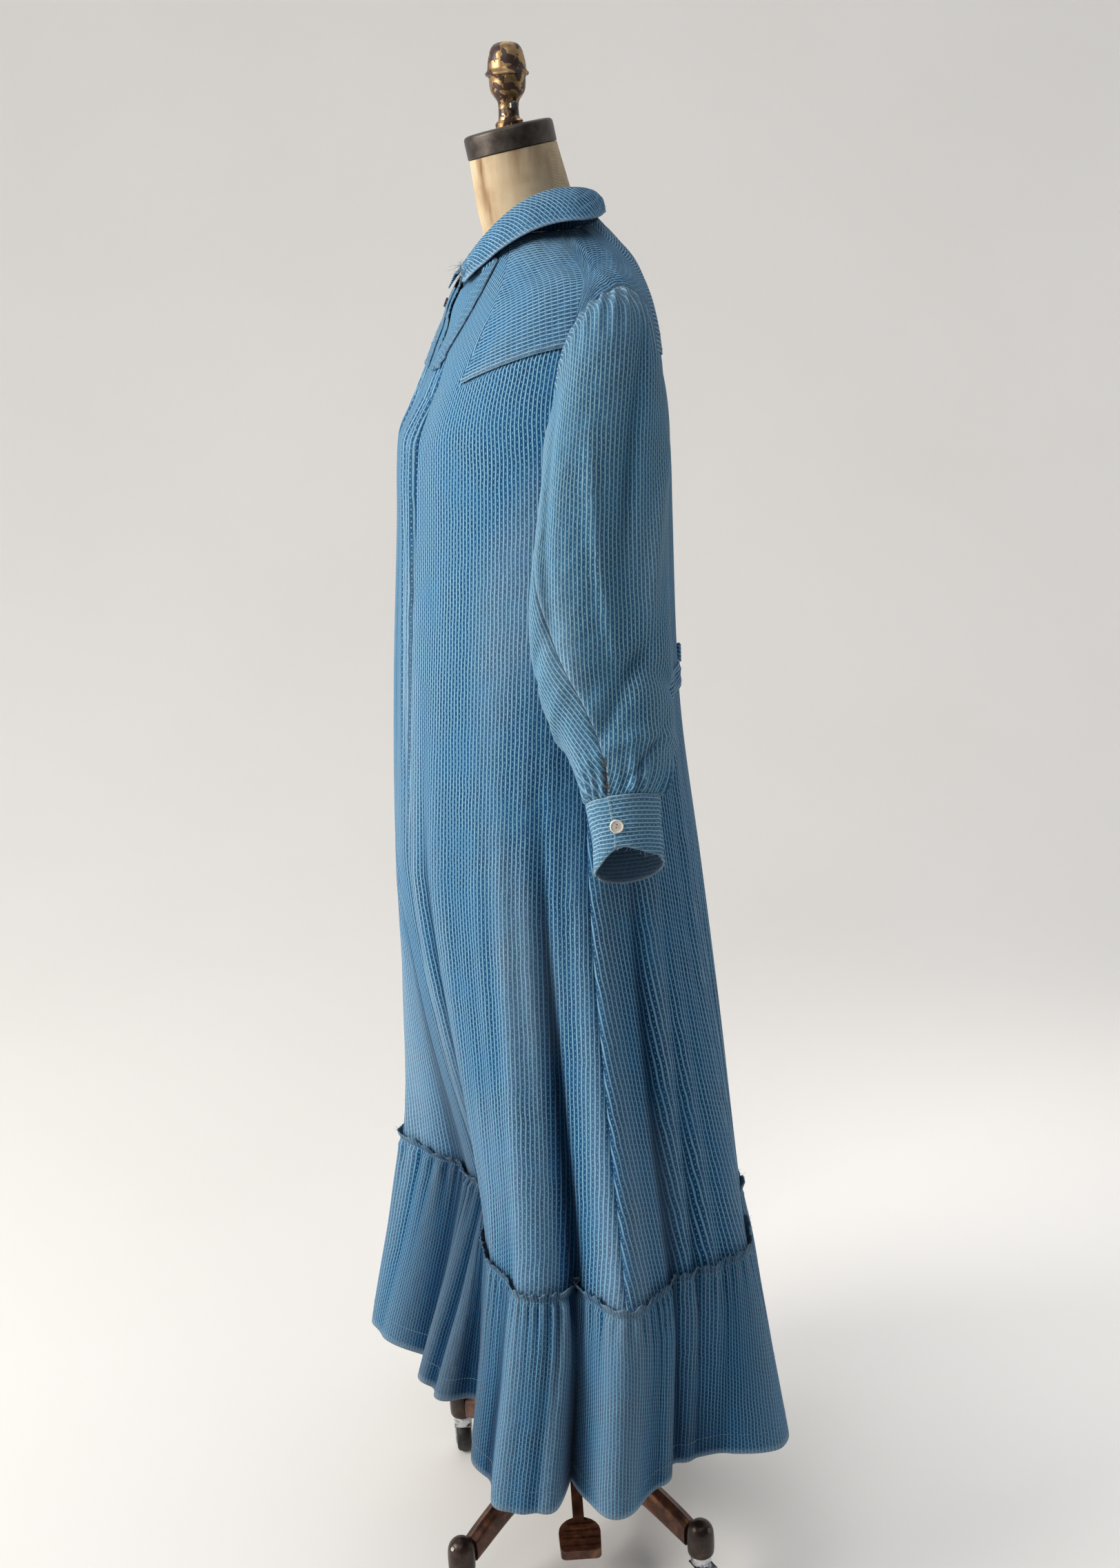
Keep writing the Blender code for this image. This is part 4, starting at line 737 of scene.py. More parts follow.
def makeBack():
    # the back from side seam to side seam, its top edge dipping under the yoke
    drops = np.linspace(0.144, dress["seamDrop"] + 0.004, 226)[:, None]
    start = armEdge(np.maximum(drops, yoke["backDrop"]), armhole["back"])
    start = start + np.where(drops > armhole["bottom"], 0.0, 0.08)
    left = start + (180 - start) * np.linspace(0, 1, 69)
    angle = np.hstack((left, 360 - left[:, -2::-1]))
    level = np.repeat(drops, angle.shape[1], axis=1)
    under = smoothStep(yoke["backDrop"] + 0.002, yoke["centreDrop"] - 0.002, level) * yoke["under"]
    worn = 0.08 * np.clip(ripple(angle / 60, level * 1.6, 6), 0, 1)
    clothPiece("backPanel", offTorso(angle, level, -under), stripeUv(angle, level, 180), calicoCloth,
               ("back",), worn=worn, outward=-1)


def yokeShape(count):
    # angles and drops of the yoke's lower edge on the left, in count points to each stretch; over
    # the arm it follows the armhole's upper half ellipse
    highest, middle = armhole["highest"], armhole["middle"]
    front = np.linspace(yoke["point"], yoke["arm"], count)
    top = np.concatenate((np.linspace(yoke["arm"], highest, count)[1:],
                          np.linspace(highest, yoke["back"], count)[1:]))
    back = np.linspace(yoke["back"], 180, count)[1:]
    ahead, behind = highest + armhole["front"] - 90, 90 + armhole["back"] - highest
    reach = np.where(top < highest, (highest - top) / ahead, (top - highest) / behind)
    overArm = middle - (middle - armhole["top"]) * np.sqrt(1 - reach ** 2)
    drops = np.concatenate((np.linspace(yoke["pointDrop"], yoke["armDrop"], count), overArm,
                            np.linspace(yoke["backDrop"], yoke["centreDrop"], count)[1:]))
    return np.concatenate((front, top, back)), drops


def makeYoke():
    # rows from the neck seam to the lower edge: angle and drop run straight between the two
    low, drops = yokeShape(34)
    high = yoke["neck"] + (low - yoke["point"]) * (180 - yoke["neck"]) / (180 - yoke["point"])
    low, high = (np.concatenate((a, 360 - a[-2::-1])) for a in (low, high))
    drops = np.concatenate((drops, drops[-2::-1]))
    share = np.linspace(0, 1, 46)[:, None]
    angle, level = high + (low - high) * share, drops * share
    fromFront = np.minimum(low, 360 - low)
    overArm = (fromFront > yoke["arm"]) & (fromFront < yoke["back"])
    lift = np.where(overArm, 0.0, 0.0010) * smoothStep(0.80, 0.97, share)
    points = offTorso(angle, level, lift + 0.0006 * ripple(angle / 12, level * 20, 8))
    uv = arcUv(points, 0, len(share) - 1)[..., ::-1]
    worn = edgeWear((1 - share) * 0.16 - 0.001) + 0.10 * smoothStep(0.5, 0.0, share)
    clothPiece("yokePiece", points, uv, calicoCloth, ("yoke",), worn=worn, outward=-1)
    stretches = (low < yoke["arm"], fromFront > yoke["back"], low > 360 - yoke["arm"])
    for row in (-2, -5):
        for part in stretches:
            a, d = angle[row, part], level[row, part]
            stitchAlong(points[row, part], offTorso(a, d, 1.0) - offTorso(a, d, 0.0))


# Sleeve sections from the shoulder down: outer x and z, inner x and z, front and back y
sleeveRings = np.array((
    (0.218, 1.437, 0.204, 1.222, -0.012, 0.093),
    (0.244, 1.394, 0.209, 1.190, -0.025, 0.088),
    (0.259, 1.327, 0.211, 1.150, -0.037, 0.083),
    (0.266, 1.240, 0.212, 1.105, -0.046, 0.082),
    (0.267, 1.160, 0.213, 1.060, -0.040, 0.083),
    (0.267, 1.090, 0.216, 1.022, -0.019, 0.083),
    (0.268, 1.040, 0.219, 0.998, -0.006, 0.078),
    (0.2685, 1.0145, 0.2215, 0.9875, -0.002, 0.0675),
))
cuffRings = np.array((
    (0.2685, 1.0145, 0.2215, 0.9875, -0.002, 0.0675),
    (0.2690, 0.9850, 0.2230, 0.9490, 0.003, 0.0685),
    (0.2680, 0.9570, 0.2240, 0.9120, 0.005, 0.0700),
))
sleeve = dict(columns=216, rows=104, underFirst=120, underLast=186, capPleats=30, cuffPleats=22,
              seamShift=53.0, slitRows=slice(88, 102))
# Creases of the sleeve: (turn share, length share) at both ends, width and height in metres.
# turn 0 is the front of the armhole's top and runs over the top to the back
sleeveCreases = (
    (0.86, 0.10, 0.70, 0.42, 0.030, -0.0050), (0.90, 0.22, 0.82, 0.60, 0.022, -0.0035),
    (0.94, 0.05, 0.98, 0.30, 0.018, 0.0025), (0.02, 0.20, 0.06, 0.70, 0.020, -0.0022),
    (0.30, 0.15, 0.24, 0.55, 0.024, -0.0035), (0.40, 0.30, 0.30, 0.62, 0.020, 0.0030),
    (0.98, 0.62, 0.14, 0.72, 0.020, -0.0035), (0.94, 0.72, 0.10, 0.84, 0.016, 0.0032),
    (0.30, 0.66, 0.12, 0.80, 0.018, -0.0030), (0.34, 0.78, 0.20, 0.92, 0.014, -0.0028),
    (0.62, 0.48, 0.80, 0.62, 0.024, -0.0040), (0.58, 0.62, 0.78, 0.76, 0.020, 0.0035),
    (0.16, 0.42, 0.20, 0.68, 0.018, 0.0020),
)


def sectionPoint(rows, turn):
    # a sleeve section: centre, plus half its tall way times cos, plus half its deep way times sin
    outX, outZ, inX, inZ, frontY, backY = np.moveaxis(rows, -1, 0)
    c, s = np.cos(np.radians(turn)), np.sin(np.radians(turn))
    return np.stack(((outX + inX) / 2 + (outX - inX) / 2 * c, (frontY + backY) / 2 + (backY - frontY) / 2 * s,
                     (outZ + inZ) / 2 + (outZ - inZ) / 2 * c), axis=-1)


def armholeLoop():
    # the armhole's edge: over the yoke, down the back, up the front
    low, drops = yokeShape(61)
    over = (low >= yoke["arm"] - 1e-6) & (low <= yoke["back"] + 1e-6)
    share = np.sin(np.linspace(-0.36, pi / 2, 60))
    below = armhole["middle"] + (armhole["bottom"] - armhole["middle"]) * share
    behind, ahead = armEdge(below, armhole["back"]), armEdge(below, -armhole["front"])
    angles = np.concatenate((low[over], behind, ahead[::-1]))
    drops = np.concatenate((drops[over], below, below[::-1]))
    loop = torso(angles, drops)
    step = np.linalg.norm(np.diff(loop, axis=0), axis=1) > 1e-5
    return loop[np.concatenate(((True,), step))]


def sleeveSurface():
    # rows from the armhole to the cuff: cubic through the sections, column turns easing to even steps
    loop = armholeLoop()
    middle, reach = loop.mean(axis=0), np.ptp(loop, axis=0) / 2
    turn = np.arctan2((loop[:, 1] - middle[1]) / reach[1], (loop[:, 2] - middle[2]) / reach[2])
    turn = np.degrees(np.unwrap(turn))
    count = sleeve["columns"]
    even = turn[0] + np.arange(count) * 360 / count
    edge = between(even, np.append(turn, turn[0] + 360), np.vstack((loop, loop[:1])))
    behind = np.clip((edge[:, 1:2] - middle[1]) / reach[1], 0, 1)
    rows = [edge + unit(middle - edge) * (0.0007 + 0.0005 * behind) + (0.0006, 0, 0)]
    rows += [sectionPoint(np.broadcast_to(row, (count, 6)), even) for row in sleeveRings]
    # the cap turns over from the shoulder in its first part, so rows are set closer there
    return through(rows, 8 * np.linspace(0, 1, sleeve["rows"]) ** 1.12)


def sleevePush(around, length):
    # how far the sleeve stands out: pleats at the cap, gathers at the cuff, creases and ripples,
    # all of them nothing at both ends; around and length are shares
    turned = 2 * pi * around
    onTop = smoothStep(0.62, 0.80, np.cos(turned - 2 * pi * 0.16) * 0.5 + 0.5)
    pleats = (0.5 + 0.5 * np.cos(sleeve["capPleats"] * turned + 1.5 * np.sin(3 * turned))) ** 1.5
    push = 0.0045 * pleats * onTop * smoothStep(0.30, 0.02, length) * smoothStep(-0.01, 0.03, length)
    gathers = (0.5 + 0.5 * np.sin(sleeve["cuffPleats"] * turned + 2.6 * np.sin(3 * turned))) ** 1.2
    uneven = 0.55 + 0.45 * np.sin(5 * turned + 1.0)
    atCuff = smoothStep(0.78, 0.97, length) * smoothStep(1.005, 0.985, length)
    push = push + 0.0046 * gathers * uneven * atCuff
    for whole in (-1, 0, 1):
        push = push + 1.35 * creases(around + whole, length, sleeveCreases)
    push = push + 0.0014 * ripple(np.cos(turned) * 0.35, length * 1.6 + np.sin(turned) * 0.4, 14)
    return push * smoothStep(0.0, 0.06, length) * smoothStep(1.0, 0.97, length)


def makeSleeves():
    # both halves of each sleeve are cut from one surface, whose seams are drawn forward down the arm
    points = sleeveSurface()
    rows, count = points.shape[:2]
    length = np.linspace(0, 1, rows)[:, None]
    normal = gridNormals(points, closed=True)
    if np.sum(normal * (points - points.mean(axis=1, keepdims=True))) < 0:
        normal = -normal
    column, row = np.arange(count)[None], np.arange(rows)[:, None]
    fromSeam = (column - sleeve["underLast"] + count / 2) % count - count / 2
    nearSeam = np.where(fromSeam < 0, smoothStep(-66, 0, fromSeam), smoothStep(90, 0, fromSeam))
    place = column + sleeve["seamShift"] * smoothStep(0.05, 0.9, length) * nearSeam
    # the print's lengths over two turns, so that neither half crosses their end
    lengths = arcUv(points, 0, -1, closed=True)
    across = np.concatenate((lengths[..., 0] - lengths[:, -1:, 0], lengths[:, 1:, 0]), axis=1)
    down = np.concatenate((lengths[..., 1], lengths[:, 1:, 1]), axis=1)
    at = place % count
    low = at.astype(int)
    after, part = (low + 1) % count, (at - low)[..., None]
    points, normal = (grid[row, low] * (1 - part) + grid[row, after] * part for grid in (points, normal))
    around = at / count
    points = points + normal * sleevePush(around, length)[..., None]
    first, last = sleeve["underFirst"], sleeve["underLast"]
    below, above = np.arange(first, last + 1), np.arange(last, first + count + 1) % count
    # painted shade: most at the top of the sleeve, and a little over all of it
    shade = 0.32 * smoothStep(0.40, 0.08, length) + 0.10
    for side, flip in (("Left", 1), ("Right", -1)):
        # name of the half, its columns, the print's turn, and how far its slit's edge falls in
        for half, columns, turn, fall in (("Under", below, 4.0, 0.0050), ("Upper", above, 0.0, -0.0016)):
            upper = half == "Upper"
            spot = place[:, columns] + (count * (columns <= first) if upper else 0)
            left = np.clip(spot.astype(int), 0, 2 * count - 1)
            share = spot - left
            uv = np.stack([lane[row, left] * (1 - share) + lane[row, left + 1] * share
                           for lane in (across, down)], axis=-1)
            uv[..., 0] -= across[:, [int(0.5 * (spot[-1, 0] + spot[-1, -1]))]]
            number = np.arange(len(columns))[None]
            seam = np.minimum(number, number[:, ::-1]) * 0.0022
            atSlit = (number if upper else number[:, ::-1]) < 8
            opened = smoothStep(0.865, 0.90, length) * smoothStep(1.0, 0.97, length) * atSlit
            worn = edgeWear(seam, most=0.2) + 0.2 * opened * (seam < 0.003)
            worn = worn + 0.08 * np.clip(ripple(around[:, columns] * 2, length * 2, 15), 0, 1)
            dip = 0.0009 * bell(seam, 0, 0.003) + opened * bell(seam, 0, 0.006) * fall
            piece = (points[:, columns] - normal[:, columns] * dip[..., None]) * (flip, 1, 1)
            edge = piece[sleeve["slitRows"], 0 if upper else -1]
            browned.append(frayAlong(edge, (0.5 * flip, -0.2, -0.1), 70, 0.0034, 75))
            clothPiece(f"sleeve{side}{half}", piece, turnUv(uv, turn), calicoWornAndLit,
                       (f"sleeve_{side.lower()}_{half.lower()}",), worn=worn, outward=-flip, shade=shade)


# Cuff: degrees round the arm with the lap, the turn of its buttoned end, height between two rings
cuff = dict(sweep=372, start=-31, ringHigh=0.032)


def makeCuffs():
    # a doubled band whose stripes run round it; its buttoned end laps over in front and kicks up
    fromEnd = np.linspace(0, cuff["sweep"], 260)
    turn = fromEnd + cuff["start"]
    at = np.linspace(0, 2, 25)
    rows = sectionPoint(through(cuffRings, at)[:, None], turn[None])
    rows = rows + 0.0005 * ripple(np.cos(np.radians(turn))[None] * 2, at[:, None], 21)[..., None]
    rows[0] += (rows[1] - rows[0]) * 0.1
    lap = 0.075 * smoothStep(110, 10, fromEnd)
    rows = rows + (rows - rows.mean(axis=1, keepdims=True)) * lap[None, :, None]
    low = smoothStep(0.9, 2.0, at)[:, None]
    kick = (bell(fromEnd, 4, 30) + bell(fromEnd, 364, 30)) * low
    droop = bell(fromEnd, 322, 26) * low
    rows = rows + kick[..., None] * (0.001, 0.0, 0.0085) - droop[..., None] * (0.0, 0.004, 0.006)
    height = at[:, None] * cuff["ringHigh"]
    toEnd = np.minimum(fromEnd, cuff["sweep"] - fromEnd)[None] * 0.00055
    worn = edgeWear(height, 2 * cuff["ringHigh"] - height, toEnd)
    for side, flip in (("Left", 1), ("Right", -1)):
        piece = rows * (flip, 1, 1)
        up = unit(piece - piece.mean(axis=1, keepdims=True))
        stitchRows(piece, up, (2, -3))
        stitchRows(piece.swapaxes(0, 1), up.swapaxes(0, 1), (3,))
        frays.append(frayAlong(piece[-1, :110], up[-1, :110] * 0.4 - (0, 0, 0.6), 46, 0.0045, 71))
        clothPiece(f"cuff{side}", piece, arcUv(piece)[..., ::-1], calicoWornAndLit, (f"cuff_{side.lower()}",),
                   thick=0.0016, worn=worn, outward=-flip)


# Collar: the fold line and the lower edge as rings, and the slump of its right front
collar = dict(fold=(0.0670, -0.0600, 0.0380, 0.0745, 1.4680, 1.5355, 1.5285),
              edge=(0.0960, -0.0690, 0.0420, 0.0800, 1.4490, 1.5085, 1.5180),
              slump=(315.0, 38.0, 0.006, 0.011), opening=14.0, thick=0.0018)


def collarRing(sizes, turn, share=1.0):
    # the ring with its right front fallen back and down by a bell of angle
    centre, width, back, down = collar["slump"]
    amount = share * bell(turn, centre, width)[..., None]
    return ringPoint(sizes, turn) + amount * (0.0, back, -down)


def makeCollar():
    # one strip per column: up the stand, over the fold in a small roll, down the fall
    turn = np.linspace(collar["opening"], 360 - collar["opening"], 225)
    neck = ringPoint(dressRings[0, 1:], turn)
    fold = collarRing(collar["fold"], turn)
    edge = collarRing(collar["edge"], turn, 0.1)
    away = unit((fold - (0, 0.01, 0)) * (1, 1, 0))
    thick = collar["thick"]
    start = fold + away * (thick + 0.0012) + (0, 0, 0.0006)
    over = start + (edge - start) * 0.45 + (0, 0, 0.0035)
    inner = -away * thick / 2
    path = np.array((neck + inner, neck + (fold - neck) * 0.5 + inner, fold + inner - (0, 0, 0.0020),
                     fold + away * 0.0010 + (0, 0, 0.0016), start + away * 0.0006 - (0, 0, 0.0010),
                     over - away * 0.0006, edge))
    at = np.concatenate((np.linspace(0, 2, 13)[:-1], np.linspace(2, 4, 15)[:-1], np.linspace(4, 6, 24)))
    points = through(path, at)
    fall = smoothStep(4.0, 5.0, at)[:, None]
    points = points + away * (0.0010 * fall * ripple(turn[None] / 30, at[:, None] * 0.5, 31))[..., None]
    uv = arcUv(points, len(turn) // 2)
    # the front end is crumpled and torn: its last centimetres curl, and cells are missing by chance
    atEnd = smoothStep(38, 16, turn)[None] * smoothStep(2.4, 3.6, at)[:, None]
    crumple = ripple(turn[None] / 5, at[:, None] * 1.3, 61)
    sideways = away * (0.0028 * crumple[..., None] - 0.0015) + crumple[..., None] * (0, 0.0012, 0.0)
    curl = smoothStep(26, 15, turn)[None] * smoothStep(4.3, 6.0, at)[:, None]
    points = points + atEnd[..., None] * sideways + curl[..., None] * (away * -0.004 + (0, 0, 0.004))
    chance = np.random.default_rng(62)
    cellTurn, cellAt = turn[None, :-1], at[:-1, None]
    uneven = 0.5 + 0.5 * ripple(cellTurn / 3.1, cellAt * 2.2, 63)
    tear = chance.random((len(at) - 1, len(turn) - 1)) * 0.35 + uneven
    reach = smoothStep(24, 13.5, cellTurn) * smoothStep(2.9, 3.6, cellAt)
    hole = bell(cellTurn, 21, 3.2) * bell(cellAt, 4.0, 0.45)
    keep = (np.maximum(tear, 0.3 * (reach < 0.05)) > reach * 1.05) & (hole + 0.25 * tear < 1.0)
    toEdge = uv[-1:, :, 1] - uv[..., 1]
    onFold = np.abs(at - 3.2)[:, None] * 0.006
    worn = edgeWear(toEdge, most=0.4) + edgeWear(onFold, reach=0.004, most=0.12)
    worn = worn + 0.35 * atEnd * np.clip(crumple, 0, 1)
    inside = slice(14, -8)
    stitchAlong(points[-5, inside] + away[inside] * 0.0012, away[inside])
    frays.append(frayAlong(points[-8, :16], (0.1, -0.6, -0.5), 60, 0.0055, 72))
    frays.append(frayAlong(points[18:, 1], (0.1, -0.8, -0.1), 60, 0.0060, 73))
    clothPiece("turnedCollar", points, uv, calicoCloth, ("collar_stand", "collar_fall"), thick=thick * 0.9,
               worn=worn, keep=keep, outward=-1, offset=0)


# Plackets: side, inner edge in degrees at the top and low down, width in degrees at both
plackets = (("Left", 1, (44.0, 5.0), (12.0, 10.0)), ("Right", -1, (24.0, 4.0), (14.0, 10.0)))


def makePlackets():
    # a strip beside each edge of the open neck, lying on the front, its ends folded in
    drops = np.linspace(0.014, 0.124, 56)[:, None]
    share = np.linspace(0, 1, 13)
    for side, flip, *ends in plackets:
        inner, wide = (np.interp(drops, (0.020, 0.118), pair) for pair in ends)
        height = 0.0011 + collar["thick"] - 0.0008 * np.abs(share * 2 - 1) ** 6
        height = height + 0.0003 * ripple(drops * 40, share, 33)
        points = offTorso(flip * (inner + wide * share), drops, height)
        uv = arcUv(points)
        fromEdge = np.abs(uv[..., 0])
        up = gridNormals(points) * -flip
        up *= np.sign(np.sum(up * (points - (0, 0.04, 1.40)), axis=-1).mean())
        stitchRows(points.swapaxes(0, 1), up.swapaxes(0, 1), (1, -2))
        stitchRows(points, up, (-3, -13))
        clothPiece(f"placket{side}", points, uv, calicoCloth, (f"placket_{side.lower()}",), thick=0.0016,
                   worn=edgeWear(fromEdge, fromEdge[:, -1:] - fromEdge), outward=-flip)


# Ruffle: drop below the seam, stand-off and wave height, in metres
ruffleRings = np.array((
    (-0.0125, 0.0062, 0.0030), (-0.0060, 0.0036, 0.0022), (0.0000, 0.0014, 0.0006), (0.0060, 0.0020, 0.0016),
    (0.0420, 0.0050, 0.0040), (0.1300, 0.0050, 0.0080), (0.2475, 0.0040, 0.0120),
))
ruffle = dict(waves=26, pleats=140, columns=1120, rows=40, deep=0.2475, heading=0.0100, hemStitch=0.222,
              printFullness=1.04, cutFullness=1.05)


def makeRuffle():
    # the body's ring moved out: broad waves grow to the hem, fine gathers fade from the seam down
    turn = np.arange(ruffle["columns"]) / ruffle["columns"] * 2 * pi
    angle, deep = np.degrees(turn), ruffle["deep"]
    heading = np.linspace(-ruffle["heading"], 0.0, 6)[:-1]
    below = np.concatenate((heading, deep * np.linspace(0, 1, ruffle["rows"] - 5) ** 1.25))[:, None]
    share = below / deep
    standOff, height = np.moveaxis(along(ruffleRings, below[:, 0]), -1, 0)[..., None]
    wave = 0.5 + 0.5 * np.sin(ruffle["waves"] * turn + 1.3 * np.sin(3 * turn) + 0.7 * np.sin(5 * turn))
    uneven = 0.75 + 0.25 * np.sin(4 * turn + 1.0)
    phase = ruffle["pleats"] * turn + 2.2 * np.sin(7 * turn) + 1.1 * np.sin(17 * turn + 1)
    fine = np.abs(np.sin(phase / 2)) ** 0.8 - 0.5
    depth = 0.35 + 0.65 * np.clip(0.5 + ripple(turn * 3.2, 0, 52), 0, 1.3)
    reach = 3.6 + 5.5 * np.clip(0.5 + ripple(turn * 2.3, 0, 53), 0, 1)
    fineHigh = 0.0092 * depth * smoothStep(-0.002, 0.008, below) * np.exp(-np.clip(share, 0, 1) * reach)
    fineHigh = fineHigh + 0.0030 * smoothStep(0.0, -0.006, below) * (0.6 + 0.4 * depth)
    out = standOff + (height * wave * uneven - np.where(below < 0.01, 0, height / 2)) * 0.6
    out = out + fineHigh * fine * (0.7 + 0.3 * np.sin(5 * turn + 2))
    frill = 0.0020 * np.sin(phase + 0.6) + 0.0022 * ripple(turn * 9, 0, 54)
    drops = dress["seamDrop"] + below + frill * smoothStep(-0.002, -0.0125, below)
    points = offTorso(angle, drops, out)
    across = running(np.concatenate((points[-1], points[-1, :1]))) * ruffle["printFullness"]
    uv = joined(across[None], running(points[:, 0])[:, None])
    worn = edgeWear(below + ruffle["heading"], reach=0.001, most=0.05)
    worn = worn + edgeWear(deep - below, reach=0.001, most=0.2)
    worn = worn + np.clip(np.append(fine, fine[:1]), 0, 1) * np.exp(-share * 6) * 0.12
    up = unit(points - points.mean(axis=1, keepdims=True))
    stitchRows(points, up, (len(heading), int(np.argmin(abs(below - ruffle["hemStitch"])))), 0.0004)
    frays.append(frayAlong(points[0], up[0] * 0.3 + (0, 0, 0.7), 560, 0.0036, 74))
    # the deep folds and the strip under the frayed heading lie in shade
    ringAngle, ringDrops = np.append(angle, 360.0), np.concatenate((drops, drops[:, :1]), axis=1)
    recess = 0.9 * bell(ringAngle, deepestFold, 1.7)
    recess = recess + smoothStep(-0.008, -0.055, foldPush(ringAngle, ringDrops))
    shade = 0.88 * recess + 0.5 * smoothStep(0.0, -0.003, below)
    clothPiece("hemRuffle", points, uv, calicoDeep, ("ruffle",), thick=0.0010, closed=True, worn=worn,
               outward=-1, fullness=ruffle["cutFullness"], shade=shade)


print("stage: dress form, stand and buttons")


def mottled(name, tones, scale, roughness, metallic=0.0, bump=0.0, fine=6.0, **sockets):
    # a solid finish: noise runs through the tones, shakes the roughness and raises a fine grain
    material, tree, shader = newMaterial(name, roughness, metallic, **sockets)
    place = addNode(tree, "TexCoord", out=3)
    marks = {"Vector": place, "Scale": scale, "Detail": 5.0, "Roughness": 0.6}
    noise = addNode(tree, "TexNoise", named=marks)
    ramp = addNode(tree, "ValToRGB", noise)
    points = ramp.node.color_ramp.elements
    last = len(tones) - 1
    for k, tone in enumerate(tones):
        at = 0.34 + 0.32 * k / last
        point = points[0] if k == 0 else points[-1] if k == last else points.new(at)
        point.position, point.color = at, toLinear(tone)
    tree.links.new(ramp, shader.inputs["Base Color"])
    shaken = addNode(tree, "Math", noise, 0.2, roughness - 0.1, operation="MULTIPLY_ADD", use_clamp=True)
    tree.links.new(shaken, shader.inputs["Roughness"])
    if bump:
        grain = addNode(tree, "TexNoise", named={"Vector": place, "Scale": scale * fine, "Detail": 4.0})
        raised = addNode(tree, "Bump", named={"Strength": 0.5, "Distance": bump, "Height": grain})
        tree.links.new(raised, shader.inputs["Normal"])
    return material, tree, shader, ramp, place


def makeCanvas():
    # cotton canvas aged to the colour of tea, with a brown run beside the seam and a coarse weave
    material, tree, shader, ramp, place = mottled(
        "aged form canvas", ("#C3AA88", "#D6C09E", "#DFCBAA"), 22.0, 0.85)
    runs = addNode(tree, "VectorMath", place, (1.0, 1.0, 0.16), operation="MULTIPLY")
    stain = addNode(tree, "TexNoise", named={"Vector": runs, "Scale": 60.0, "Detail": 3.0})
    seam = addNode(tree, "Attribute", out=2, attribute_name="seam")
    spots = addNode(tree, "MapRange", stain, named={"From Min": 0.42, "From Max": 0.66})
    mask = addNode(tree, "Math", seam, spots, operation="MULTIPLY")
    soft = addNode(tree, "MapRange", stain, named={"From Min": 0.55, "From Max": 0.75, "To Max": 0.35})
    both = addNode(tree, "Math", mask, soft, operation="ADD", use_clamp=True)
    tree.links.new(mixColours(tree, both, ramp, "#8C6742"), shader.inputs["Base Color"])
    # plain weave about 1 mm a thread, coarser than cloth so that it shows: sin(z) times sin(x + y)
    x = addNode(tree, "SeparateXYZ", place)
    y, z = x.node.outputs[1], x.node.outputs[2]
    upright = addNode(tree, "Math", z, 3100.0, operation="MULTIPLY")
    level = addNode(tree, "Math", addNode(tree, "Math", x, y, operation="ADD"), 3100.0, operation="MULTIPLY")
    weave = addNode(tree, "Math", addNode(tree, "Math", upright, operation="SINE"),
                    addNode(tree, "Math", level, operation="SINE"), operation="MULTIPLY")
    raised = addNode(tree, "Bump", named={"Strength": 0.25, "Distance": 0.0006, "Height": weave})
    tree.links.new(raised, shader.inputs["Normal"])
    return material


def makePaintedBrass():
    # brass under dark brown paint that has chipped off in flakes
    material, tree, shader = newMaterial("brass with chipped paint", 0.36)
    place = addNode(tree, "TexCoord", out=3)
    chips = {"Vector": place, "Scale": 95.0, "Detail": 3.0, "Distortion": 0.9}
    flakes = addNode(tree, "TexNoise", named=chips)
    bare = addNode(tree, "MapRange", flakes, named={"From Min": 0.505, "From Max": 0.525})
    tarnish = addNode(tree, "TexNoise", named={"Vector": place, "Scale": 300.0, "Detail": 3.0})
    brass = addNode(tree, "ValToRGB", tarnish)
    brass.node.color_ramp.elements[0].color = toLinear("#8A6C48")
    brass.node.color_ramp.elements[1].color = toLinear("#CBAA7C")
    tree.links.new(mixColours(tree, bare, "#3F2A22", brass), shader.inputs["Base Color"])
    tree.links.new(bare, shader.inputs["Metallic"])
    lip = addNode(tree, "Bump", invert=True, named={"Strength": bare, "Distance": 0.0003, "Height": bare})
    tree.links.new(lip, shader.inputs["Normal"])
    return material


canvas = makeCanvas()
paintedBrass = makePaintedBrass()
capMetal = mottled("dark banded metal", ("#38322E", "#4C4540", "#5F5750"), 70.0, 0.42, 0.55, bump=0.0001)[0]
rustyIron = mottled("brown cast iron", ("#35201A", "#4A2C20", "#5C3A29", "#7A5236"), 60.0, 0.34, 0.35,
                    bump=0.0004, fine=9.0)[0]
darkIron = mottled("worn dark iron", ("#241A17", "#33251F", "#4A382F"), 60.0, 0.34, 0.35, bump=0.0002)[0]
greySteel = mottled("dull steel", ("#5E5D5B", "#7C7A77", "#918E89"), 90.0, 0.35, 0.9, bump=0.0001)[0]
chrome = mottled("scuffed chrome", ("#8E9092", "#C4C7CA", "#D8DADC"), 140.0, 0.20, 1.0)[0]
rubber = mottled("black rubber wheel", ("#121213", "#1C1C1D", "#38352F"), 120.0, 0.58, bump=0.0002)[0]
shell = mottled("shell button", ("#D9D0C2", "#EDE7DC", "#F6F2EA"), 260.0, 0.24, Coat_Weight=0.3)[0]
horn = mottled("dark horn button", ("#17110E", "#2B1F19", "#43332A"), 260.0, 0.30)[0]


def skinPiece(name, rings, material, stands, body, place, sharp, values=None):
    # a skin over rings of equal count, each of them closed, moved to its place; edges that bend
    # by more than the angle stay sharp
    points = rings.reshape(-1, 3)
    if place is not None:
        turned = np.array(place)
        points = points @ turned[:3, :3].T + turned[:3, 3]
    faces = gridFaces(*rings.shape[:2], closed=True)
    thing = meshFrom(name, points + columnAt, faces, material, values=values)
    weld(thing, 2e-6, outward=True)
    thing.data.set_sharp_from_angle(angle=radians(sharp))
    finishPiece(thing, stands, body)


